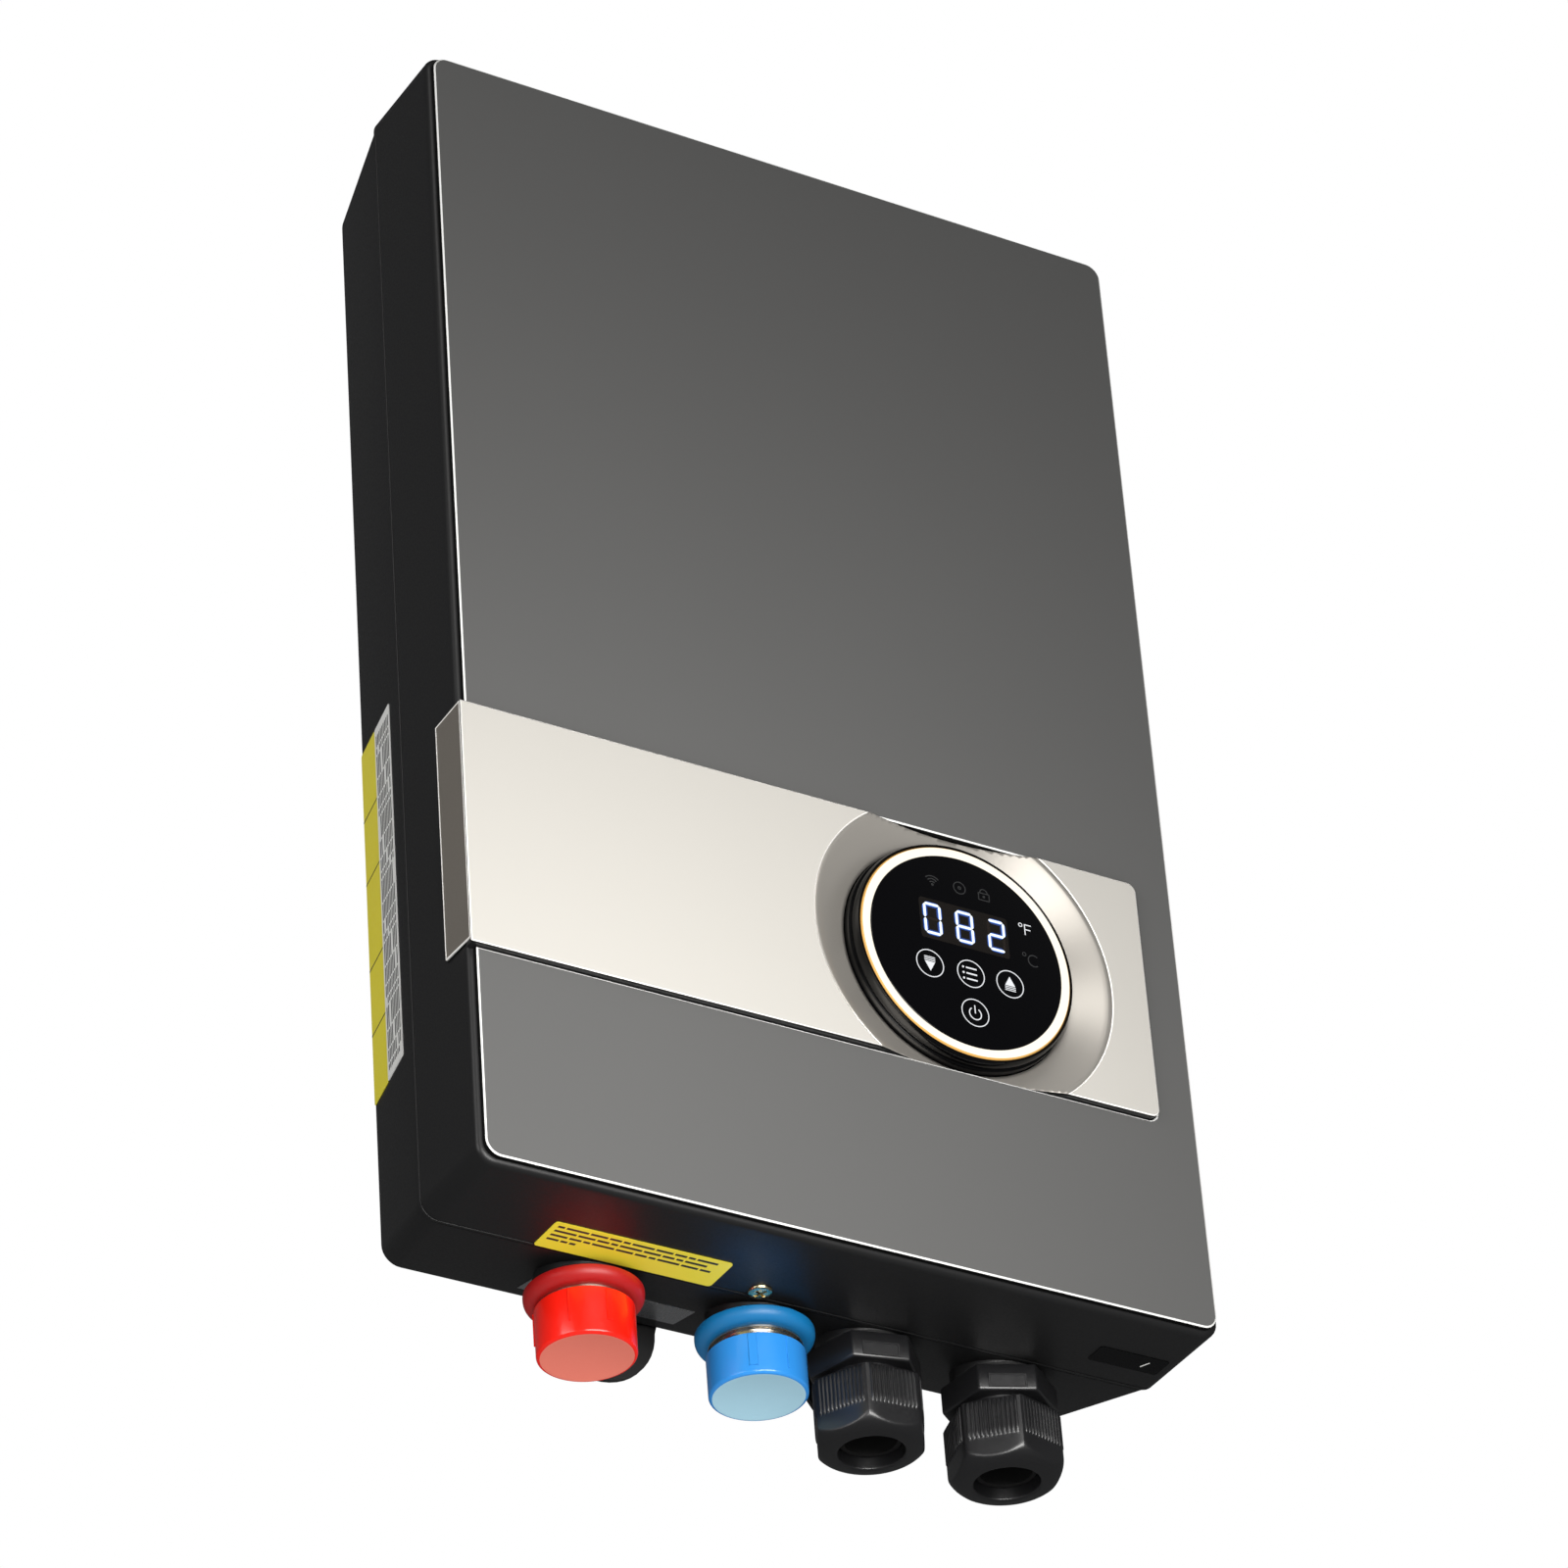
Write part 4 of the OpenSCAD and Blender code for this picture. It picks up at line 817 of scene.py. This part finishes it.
def make_nipple(node, name):
    """Turned nipple: fine parallel thread crests below its collar and a plain pilot at the end."""
    lo, hi = lo_hi(node)
    centre = axis_of(node)
    outer, bore = 13.3 * MM, 9.5 * MM
    thread_top = BOTTOM - 7.6 * MM
    pilot_top = lo.z + 4 * MM
    bm = bmesh.new()
    profile = [(bore + 0.5 * MM, lo.z), (outer - 1.0 * MM, lo.z), (outer - 0.45 * MM, lo.z + 0.5 * MM),
               (outer - 0.45 * MM, pilot_top - 0.1 * MM)]
    pitch = 1.0 * MM
    for k in range(int((thread_top - pilot_top) / pitch)):
        base = pilot_top + k * pitch
        profile += [(outer - 0.62 * MM, base + 0.02 * MM), (outer - 0.06 * MM, base + 0.4 * MM),
                    (outer - 0.06 * MM, base + 0.6 * MM), (outer - 0.62 * MM, base + 0.98 * MM)]
    collar = (hi.x - lo.x) / 2
    profile += [(outer - 0.5 * MM, thread_top - 0.05 * MM), (collar - 0.15 * MM, thread_top - 0.02 * MM),
                (collar, thread_top + 0.14 * MM), (collar, thread_top + 0.76 * MM),
                (collar - 0.15 * MM, thread_top + 0.9 * MM), (outer - 0.5 * MM, thread_top + 0.9 * MM),
                (outer - 0.5 * MM, hi.z - 0.6 * MM), (outer - 1.1 * MM, hi.z),
                (bore + 0.4 * MM, hi.z), (bore, hi.z - 0.4 * MM), (bore, lo.z + 0.5 * MM)]
    lathe(bm, profile, centre, "z", 96, close=True)
    piece = finish_mesh(name, bm, ["stainless"], 28)
    return place(piece, "chassis", "stainless", node)


# ---------- cable glands ----------

FLANGE_TURN = {"a": 17, "b": 7}      # how far each hexagon is turned, in degrees
NUT_TURN = {"a": 58, "b": 16}
NO_LIMIT = 1.0                       # a radius far larger than any gland


def make_gland_body(node, name, turn):
    """Moulded gland body: threaded shank, hexagonal flange with a blank raised plate, and its sleeve."""
    lo, hi = lo_hi(node)
    centre = axis_of(node)
    radius, bore = 12.5 * MM, 9.5 * MM
    top, bottom = BOTTOM - 1.2 * MM, BOTTOM - 10.2 * MM
    bm = bmesh.new()
    profile = [(bore, lo.z), (radius + 0.1 * MM - 0.4 * MM, lo.z), (radius + 0.1 * MM, lo.z + 0.4 * MM),
               (radius + 0.1 * MM, bottom + 0.5 * MM), (radius - 0.5 * MM, top - 0.5 * MM)]
    pitch = 1.5 * MM
    for k in range(int((hi.z - top) / pitch)):
        base = top + k * pitch
        profile += [(radius - 0.7 * MM, base + 0.05 * MM), (radius - 0.05 * MM, base + 0.6 * MM),
                    (radius - 0.05 * MM, base + 0.9 * MM), (radius - 0.7 * MM, base + 1.45 * MM)]
    profile += [(radius - 0.8 * MM, hi.z), (bore, hi.z)]
    lathe(bm, profile, centre, "z", 96, close=True)
    corner = 17.9 * MM
    flat = corner * math.cos(math.radians(30))

    def hexagon(scale, z, soft=1.1 * MM, steps=4):
        points = []
        for k in range(6):
            a = math.radians(60 * k + 30 + turn)
            reach = corner * scale - soft / math.cos(math.radians(30))
            for j in range(steps + 1):
                b = a + math.radians(-30 + 60 * j / steps)
                points.append((centre.x + reach * math.cos(a) + soft * math.cos(b),
                               centre.y + reach * math.sin(a) + soft * math.sin(b), z))
        return ring_of(bm, points)

    rings = [hexagon(0.955, bottom), hexagon(0.975, bottom + 0.12 * MM), hexagon(0.995, bottom + 0.5 * MM),
             hexagon(1.0, bottom + 1.0 * MM), hexagon(1.0, top - 0.5 * MM), hexagon(0.985, top - 0.1 * MM),
             hexagon(0.965, top)]
    for a, b in zip(rings, rings[1:]):
        bridge(bm, a, b)
    bm.faces.new(list(reversed(rings[0])))
    bm.faces.new(rings[-1])
    for k in (1, 4):
        a = math.radians(60 * k + turn)
        out, across = Vector((math.cos(a), math.sin(a), 0)), Vector((-math.sin(a), math.cos(a), 0))
        loops = []
        for inset, reach in ((0, -0.2), (0, 0.12), (0.12, 0.24), (0.55, 0.24), (0.65, 0.1)):
            half, low, high = (5.9 - inset) * MM, bottom + (0.9 + inset) * MM, bottom + (5.6 - inset) * MM
            loops.append(ring_of(bm, [centre + out * (flat + reach * MM) + across * sx + Vector((0, 0, z))
                                      for sx, z in ((-half, low), (half, low), (half, high), (-half, high))]))
        for la, lb in zip(loops, loops[1:]):
            bridge(bm, la, lb)
        bm.faces.new(loops[-1])
        bm.faces.new(list(reversed(loops[0])))
    piece = finish_mesh(name, bm, ["nylon"], 34)
    return place(piece, "chassis", "gland_nylon", node)


def make_gland_nut(node, name, turn):
    """Dome nut: a soft-cornered hexagon with fine grip ribs on its flats, then a smooth dome and lip."""
    lo, hi = lo_hi(node)
    centre = axis_of(node)
    top, end = hi.z, lo.z
    apothem = 15.95 * MM
    mouth = 10.1 * MM
    corner_soft = 18.2 * MM
    ribbed_from, ribbed_to = top - 0.7 * MM, top - 13.2 * MM
    rib_half_width, rib_count, rib_height = 8.1 * MM, 12, 0.42 * MM
    segments = 1440
    dome_round = 8.3 * MM

    def facet(angle):
        """Degrees from the middle of the nearest flat."""
        return (math.degrees(angle) - turn) % 60 - 30

    def hex_radius(angle):
        local = facet(angle)
        flat = apothem / math.cos(math.radians(local))
        sharp = 30.0
        return (flat ** -sharp + corner_soft ** -sharp) ** (-1 / sharp)

    def rib_lift(angle):
        local = math.radians(facet(angle))
        across = apothem * math.tan(local)
        if abs(across) > rib_half_width:
            return 0.0
        phase = (across / (2 * rib_half_width) + 0.5) * rib_count
        wave = 0.5 - 0.5 * math.cos(TAU * phase)
        return rib_height * min(1.0, 1.6 * wave)

    def dome_limit(z):
        """Largest radius that the dome allows at height z."""
        t = (end + dome_round - z) / dome_round
        if t <= 0:
            return NO_LIMIT
        t = min(t, 1.0)
        return mouth + 1.5 * MM + (corner_soft - mouth - 1.0 * MM) * math.sqrt(max(0.0, 1 - t ** 2.2))

    def smooth_min(a, b, k=0.55 * MM):
        h = max(k - abs(a - b), 0) / k
        return min(a, b) - h * h * k / 4

    full_ribs = ribbed_from - 0.6 * MM
    rib_run = ribbed_to + 0.9 * MM - ribbed_from + 0.6 * MM
    heights = [top, top - 0.25 * MM, top - 0.7 * MM, ribbed_from, ribbed_from - 0.25 * MM, full_ribs]
    heights += [full_ribs + rib_run * k / 6 for k in range(1, 7)]
    heights += [ribbed_to + 0.45 * MM, ribbed_to + 0.1 * MM, ribbed_to - 0.3 * MM]
    z_start = heights[-1]
    dome_run = end + 0.35 * MM - z_start
    heights += [z_start + dome_run * math.sin(math.pi / 2 * k / 16) for k in range(1, 17)]
    bm = bmesh.new()
    rings = []
    for z in heights:
        inset = 0.7 * MM if z == top else (0.25 * MM if z > top - 0.3 * MM else 0.0)
        fade_in = max(0.0, min(1.0, (ribbed_from - z) / (0.6 * MM)))
        fade_out = max(0.0, min(1.0, (z - ribbed_to) / (0.9 * MM)))
        window = fade_in * fade_out
        limit = dome_limit(z)
        points = []
        for k in range(segments):
            a = TAU * k / segments
            radius = hex_radius(a) - inset + rib_lift(a) * window
            radius = smooth_min(radius, limit if limit < NO_LIMIT else radius + 1.0 * MM)
            points.append((centre.x + radius * math.cos(a), centre.y + radius * math.sin(a), z))
        rings.append(ring_of(bm, points))
    # the lip, the mouth and the inside
    thread_r = 12.68 * MM
    inside = [(mouth + 1.35 * MM, end + 0.06 * MM), (mouth + 0.95 * MM, end),
              (mouth + 0.4 * MM, end + 0.05 * MM), (mouth + 0.08 * MM, end + 0.3 * MM),
              (mouth, end + 0.7 * MM), (mouth, end + 5 * MM), (9.8 * MM, end + 6 * MM),
              (thread_r, end + 12.5 * MM), (thread_r, top - 0.4 * MM), (13.0 * MM, top)]
    for r, z in inside:
        rings.append(ring_of(bm, [(centre.x + r * math.cos(TAU * k / segments),
                                   centre.y + r * math.sin(TAU * k / segments), z) for k in range(segments)]))
    for a, b in zip(rings, rings[1:]):
        bridge(bm, a, b)
    bridge(bm, rings[-1], rings[0])
    piece = finish_mesh(name, bm, ["nylon"], 42)
    return place(piece, node, "gland_nylon", node)


# ---------- small parts underneath ----------

def make_cover_screw():
    """Pan-head screw with a cross recess, its shank up through the rim."""
    lo, hi = lo_hi("cover_screw")
    centre = axis_of("cover_screw")
    head, shank = (hi.x - lo.x) / 2, 2 * MM
    base = BOTTOM
    bm = bmesh.new()
    lathe(bm, [(0, lo.z), (2.3 * MM, lo.z + 0.02 * MM), (3.1 * MM, lo.z + 0.14 * MM),
               (3.5 * MM, lo.z + 0.35 * MM), (head, lo.z + 0.7 * MM), (head, base - 0.05 * MM),
               (shank, base - 0.02 * MM), (shank, hi.z - 0.6 * MM), (shank - 0.6 * MM, hi.z),
               (0, hi.z)], centre, "z", 64)
    screw = finish_mesh("captive_screw", bm, ["zinc"], 30)
    for angle in (25, 115):
        cutter_bm = bmesh.new()
        a = math.radians(angle)
        u, v = Vector((math.cos(a), math.sin(a), 0)), Vector((-math.sin(a), math.cos(a), 0))
        rings = []
        for z, long_half, half in ((lo.z - 0.5 * MM, 2.3, 0.5), (lo.z + 0.5 * MM, 2.0, 0.42),
                                   (lo.z + 1.3 * MM, 0.9, 0.3)):
            slot = [centre + u * sx * long_half * MM + v * sy * half * MM + Vector((0, 0, z))
                    for sx, sy in ((-1, -1), (1, -1), (1, 1), (-1, 1))]
            rings.append(ring_of(cutter_bm, slot))
        for ra, rb in zip(rings, rings[1:]):
            bridge(cutter_bm, ra, rb)
        cutter_bm.faces.new(rings[-1])
        cutter_bm.faces.new(list(reversed(rings[0])))
        cutter = finish_mesh("recess_cutter", cutter_bm, ["zinc"], 30)
        carve = screw.modifiers.new("recess", "BOOLEAN")
        carve.operation = "DIFFERENCE"
        carve.solver = "EXACT"
        carve.object = cutter
        bpy.context.view_layer.update()
        graph = bpy.context.evaluated_depsgraph_get()
        carved = bpy.data.meshes.new_from_object(screw.evaluated_get(graph))
        screw.modifiers.clear()
        screw.data = carved
        bpy.data.objects.remove(cutter)
    screw.data.set_sharp_from_angle(angle=math.radians(30))
    return place(screw, "cover", "zinc_yellow", "cover_screw")


def sticker(name, corner, along, across, length, width, radius, thickness, material):
    """A thin rounded sticker lying on a face, as a closed slab."""
    along, across = Vector(along).normalized(), Vector(across).normalized()
    out = along.cross(across)
    points = [(length / 2 + x, width / 2 + z) for x, z in outline(length, width, radius, 0, 4)]
    bm = bmesh.new()
    low = ring_of(bm, [Vector(corner) + along * x + across * y for x, y in points])
    high = ring_of(bm, [Vector(corner) + along * x + across * y + out * thickness for x, y in points])
    bridge(bm, low, high)
    bm.faces.new(high)
    bm.faces.new(list(reversed(low)))
    return finish_mesh(name, bm, [material], 30)


def bars(name, corner, along, across, rows, material, thickness):
    """Plain printed bars, each (start, height, length, width), standing a hair above their sticker."""
    along, across = Vector(along).normalized(), Vector(across).normalized()
    out = along.cross(across)
    bm = bmesh.new()
    for x, y, length, width in rows:
        base = [Vector(corner) + along * px + across * py
                for px, py in ((x, y), (x + length, y), (x + length, y + width), (x, y + width))]
        low, high = ring_of(bm, base), ring_of(bm, [p + out * thickness for p in base])
        bridge(bm, low, high)
        bm.faces.new(high)
        bm.faces.new(list(reversed(low)))
    return finish_mesh(name, bm, [material], 30)


def make_stickers():
    """Printed stickers, with plain bars where a real one has words."""
    lo, hi = lo_hi("underside_label")
    base = sticker("yellow_sticker", (lo.x, hi.y, BOTTOM - 0.02 * MM), (1, 0, 0), (0, -1, 0), hi.x - lo.x,
                   hi.y - lo.y, 1.2 * MM, 0.16 * MM, "label_yellow")
    place(base, "cover", "label_yellow", "underside_label")
    rows = []
    for k, (start, stop) in enumerate(((0.03, 0.93), (0.03, 0.9), (0.03, 0.93), (0.03, 0.19))):
        y = (11.6 - 2.35 * k) * MM
        x = start * (hi.x - lo.x)
        step = 0
        while x < stop * (hi.x - lo.x):
            length = (2.2 + 1.7 * ((step * 7 + k * 3) % 4)) * MM
            length = min(length, stop * (hi.x - lo.x) - x)
            if length > 0.4 * MM:
                rows.append((x, y, length, 1.0 * MM))
            x += length + 0.7 * MM
            step += 1
    ink = bars("yellow_sticker_bars", (lo.x, hi.y, BOTTOM - 0.18 * MM), (1, 0, 0), (0, -1, 0),
               rows, "label_ink", 0.03 * MM)
    place(ink, "cover", "label_yellow")

    strip = sticker("black_sticker", (COVER_HI.x - 31 * MM, PANEL_Y + 28 * MM, BOTTOM - 0.02 * MM), (1, 0, 0),
                    (0, -1, 0), 24.5 * MM, 8.4 * MM, 0.8 * MM, 0.16 * MM, "gloss_black")
    place(strip, "cover", "black_plastic")
    slash = bars("black_sticker_bar", (COVER_HI.x - 13.5 * MM, PANEL_Y + 25.5 * MM, BOTTOM - 0.18 * MM),
                 (0.45, -0.9, 0), (-0.9, -0.45, 0), [(0, 0, 3.4 * MM, 0.45 * MM)], "label_white", 0.03 * MM)
    place(slash, "cover", "black_plastic")

    lo, hi = lo_hi("side_label")
    tilt = math.atan(SHELL_LEAN / SHELL_RUN)
    back = Vector((math.sin(tilt), math.cos(tilt), 0))
    shell_half = (COVER_HI.x - COVER_LO.x) / 2 - 0.7 * MM

    def on_side(depth, z):
        lean_in = SHELL_LEAN * (SHELL_FRONT - depth) / SHELL_RUN
        return Vector((-(shell_half - lean_in) - 0.04 * MM, -depth, z))

    white_depth, yellow_depth = 15.5 * MM, 14.2 * MM
    height = hi.z - lo.z
    start = on_side(32.5 * MM, lo.z)
    white = sticker("side_sticker_white", start, (0, 0, 1), back, height, white_depth, 0.8 * MM, 0.2 * MM,
                    "label_white")
    place(white, "chassis", "label_white", "side_label")
    yellow = sticker("side_sticker_yellow", start + back * white_depth, (0, 0, 1), back, height, yellow_depth,
                     0.8 * MM, 0.2 * MM, "label_yellow")
    place(yellow, "chassis", "label_yellow")
    rows = []
    for column in range(9):
        z, step = 3 * MM, column
        while z < height - 4 * MM:
            length = (2.0 + 1.9 * ((step * 5 + column * 3) % 4)) * MM
            if (step * 3 + column) % 11:
                rows.append((z, (1.3 + 1.5 * column) * MM, min(length, height - 3 * MM - z), 0.75 * MM))
            z += length + 0.8 * MM
            step += 1
    out = Vector((0, 0, 1)).cross(back)
    ink = bars("side_sticker_bars", start + out * 0.2 * MM, (0, 0, 1), back, rows, "label_ink", 0.03 * MM)
    place(ink, "chassis", "label_white")
    rows = [(length * MM, 0, 0.5 * MM, yellow_depth) for length in (24, 47, 78, 101)]
    rule = bars("side_sticker_rules", start + back * white_depth + out * 0.2 * MM, (0, 0, 1), back, rows,
                "label_ink", 0.03 * MM)
    place(rule, "chassis", "label_yellow")


# ---------- finishes of the nodes whose shape is already right ----------

NODE_FINISH = {
    "plate": ["mounting_plate"],
    "foil": ["fitting_plate"],
    "black": ["band_carrier"],
    "rubber": ["sealing_washers", "gland_seals"],
    "brass": ["port_nuts", "terminal_screws", "ground_stud", "outlet_probe"],
    "copper": ["outlet_pipe", "inlet_pipe", "canister_hot", "canister_cold", "crossover_pipe"],
    "epoxy": ["flow_sensor_body", "power_module", "triacs", "digit_module"],
    "nylon": ["gland_locknuts"],
    "ivory": ["flow_turbine", "inlet_filter", "terminal_blocks", "limit_thermostats"],
    "steel": ["chassis_screws", "element_hot", "element_cold", "head_bolts",
              "canister_clamps", "board_screws", "cover_nut"],
    "ring_red": ["head_gaskets"],
    "button": ["reset_button_hot", "reset_button_cold"],
    "board": ["power_board", "display_board"],
    "relay": ["relays"],
    "aluminium": ["heat_sink"],
    "lead": ["supply_leads", "element_leads"],
    "ribbon": ["display_cable"],
}


def finish_nodes():
    for finish, names in NODE_FINISH.items():
        for name in names:
            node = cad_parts[name]
            node.data.materials.clear()
            node.data.materials.append(MAT[finish])


# ---------- stage, lights and camera ----------

FLOOR_Z = -1.62


def make_stage():
    bm = bmesh.new()
    size = 4.0
    rows = 12
    grid = [[bm.verts.new((-size + 2 * size * i / rows, -size + 2 * size * j / rows, FLOOR_Z))
             for i in range(rows + 1)] for j in range(rows + 1)]
    for j in range(rows):
        for i in range(rows):
            bm.faces.new((grid[j][i], grid[j][i + 1], grid[j + 1][i + 1], grid[j + 1][i]))
    mesh = bpy.data.meshes.new("studio_floor")
    bm.to_mesh(mesh)
    bm.free()
    pale = surface("pale_floor", (0.78, 0.78, 0.77), 0.6, 0.05, 0.02, 90, 0.0002)
    pale.node_tree.nodes["Principled BSDF"].inputs["Emission Color"].default_value = (1, 1, 0.99, 1)
    pale.node_tree.nodes["Principled BSDF"].inputs["Emission Strength"].default_value = 0.5
    mesh.materials.append(pale)
    floor = bpy.data.objects.new("studio_floor", mesh)
    floor.visible_glossy = False
    bpy.context.scene.collection.objects.link(floor)


def area_light(name, place_at, target, width, height, power, color=(1, 1, 1), spread=180):
    data = bpy.data.lights.new(name, "AREA")
    data.shape = "RECTANGLE"
    data.size, data.size_y = width, height
    data.energy = power
    data.color = color
    data.spread = math.radians(spread)
    lamp = bpy.data.objects.new(name, data)
    lamp.location = place_at
    lamp.rotation_euler = (Vector(target) - Vector(place_at)).to_track_quat("-Z", "Y").to_euler()
    lamp.visible_camera = False
    bpy.context.scene.collection.objects.link(lamp)
    return lamp


AMBIENT = 0.09
SOFT_WHITE = (1.0, 0.99, 0.97)


def make_lights():
    world = bpy.data.worlds.new("studio")
    bpy.context.scene.world = world
    world.use_nodes = True
    nodes, links = world.node_tree.nodes, world.node_tree.links
    nodes.clear()
    output = nodes.new("ShaderNodeOutputWorld")
    mix = nodes.new("ShaderNodeMixShader")
    path = nodes.new("ShaderNodeLightPath")
    soft, backdrop = nodes.new("ShaderNodeBackground"), nodes.new("ShaderNodeBackground")
    soft.inputs["Color"].default_value = (0.98, 0.99, 1.0, 1)
    soft.inputs["Strength"].default_value = AMBIENT
    backdrop.inputs["Color"].default_value = (1, 1, 1, 1)
    backdrop.inputs["Strength"].default_value = 1.0
    links.new(path.outputs["Is Camera Ray"], mix.inputs["Fac"])
    links.new(soft.outputs["Background"], mix.inputs[1])
    links.new(backdrop.outputs["Background"], mix.inputs[2])
    links.new(mix.outputs["Shader"], output.inputs["Surface"])
    area_light("key_low_front", (-0.11, -0.46, -0.25), (-0.02, -0.08, -0.14), 0.35, 0.25, 2.5,
               (1.0, 0.99, 0.975))
    area_light("left_fill", (-1.4, -0.5, 0.1), (-0.12, -0.04, -0.05), 0.7, 0.9, 7.0, (1.0, 0.99, 0.98))
    front = area_light("front_softbox", (-0.10, -2.3, 0.02), (0.0, -0.08, 0.0), 1.3, 0.75, 5.0, SOFT_WHITE)
    front.visible_diffuse = False
    upper = area_light("upper_left_gloss", (-0.75, -1.6, 1.2), (0.0, -0.05, -0.12), 1.1, 0.7, 7.0,
                       SOFT_WHITE)
    upper.visible_diffuse = False
    back = area_light("back_and_floor", (0.0, 1.9, 2.0), (0.0, 0.35, FLOOR_Z), 2.4, 1.6, 62.0,
                      (1.0, 0.995, 0.985))
    back.visible_glossy = False


def make_camera():
    data = bpy.data.cameras.new("product_camera")
    data.lens = 165.7
    data.sensor_width = 36
    data.sensor_fit = "HORIZONTAL"
    camera = bpy.data.objects.new("product_camera", data)
    right = Vector((0.86142977, -0.50377365, -0.0644271))
    up = Vector((-0.23717571, -0.51120665, 0.8260844))
    ahead = Vector((0.44909512, 0.69633316, 0.55985151))
    turn = Matrix((right, up, -ahead)).transposed().to_4x4()
    camera.matrix_world = Matrix.Translation((-0.9986, -1.6056, -1.2709)) @ turn
    bpy.context.scene.collection.objects.link(camera)
    bpy.context.scene.camera = camera


# ---------- everything together ----------

bpy.context.scene.view_settings.view_transform = "Standard"
make_front_cover()
make_front_panel()
make_rear_shell()
make_accent_band()
make_band_wrap()
make_display()
make_digits()
make_icons()
make_cap("hot_cap", "red_cap", "cap_red", "cap_red_end", "cap_red",
         [(-138, 0.22, 0.35), (-91.5, 0.95, 0.3), (150, 0.22, 0.35), (30, 0.95, 0.3)])
make_cap("cold_cap", "blue_cap", "cap_blue", "cap_blue_end", "cap_blue",
         [(-125, 1.3, 0.3), (-83.5, 0.22, 0.35), (120, 0.22, 0.35), (60, 1.3, 0.3)])
make_marker_ring("hot_marker_ring", "red_ring", "ring_red")
make_marker_ring("cold_marker_ring", "blue_ring", "ring_blue")
make_nipple("hot_nipple", "hot_thread")
make_nipple("cold_nipple", "cold_thread")
for side in "ab":
    make_gland_body("gland_body_" + side, "gland_flange_" + side, FLANGE_TURN[side])
    make_gland_nut("gland_nut_" + side, "gland_dome_" + side, NUT_TURN[side])
make_cover_screw()
make_stickers()
finish_nodes()
make_stage()
make_lights()
make_camera()

bpy.context.view_layer.update()
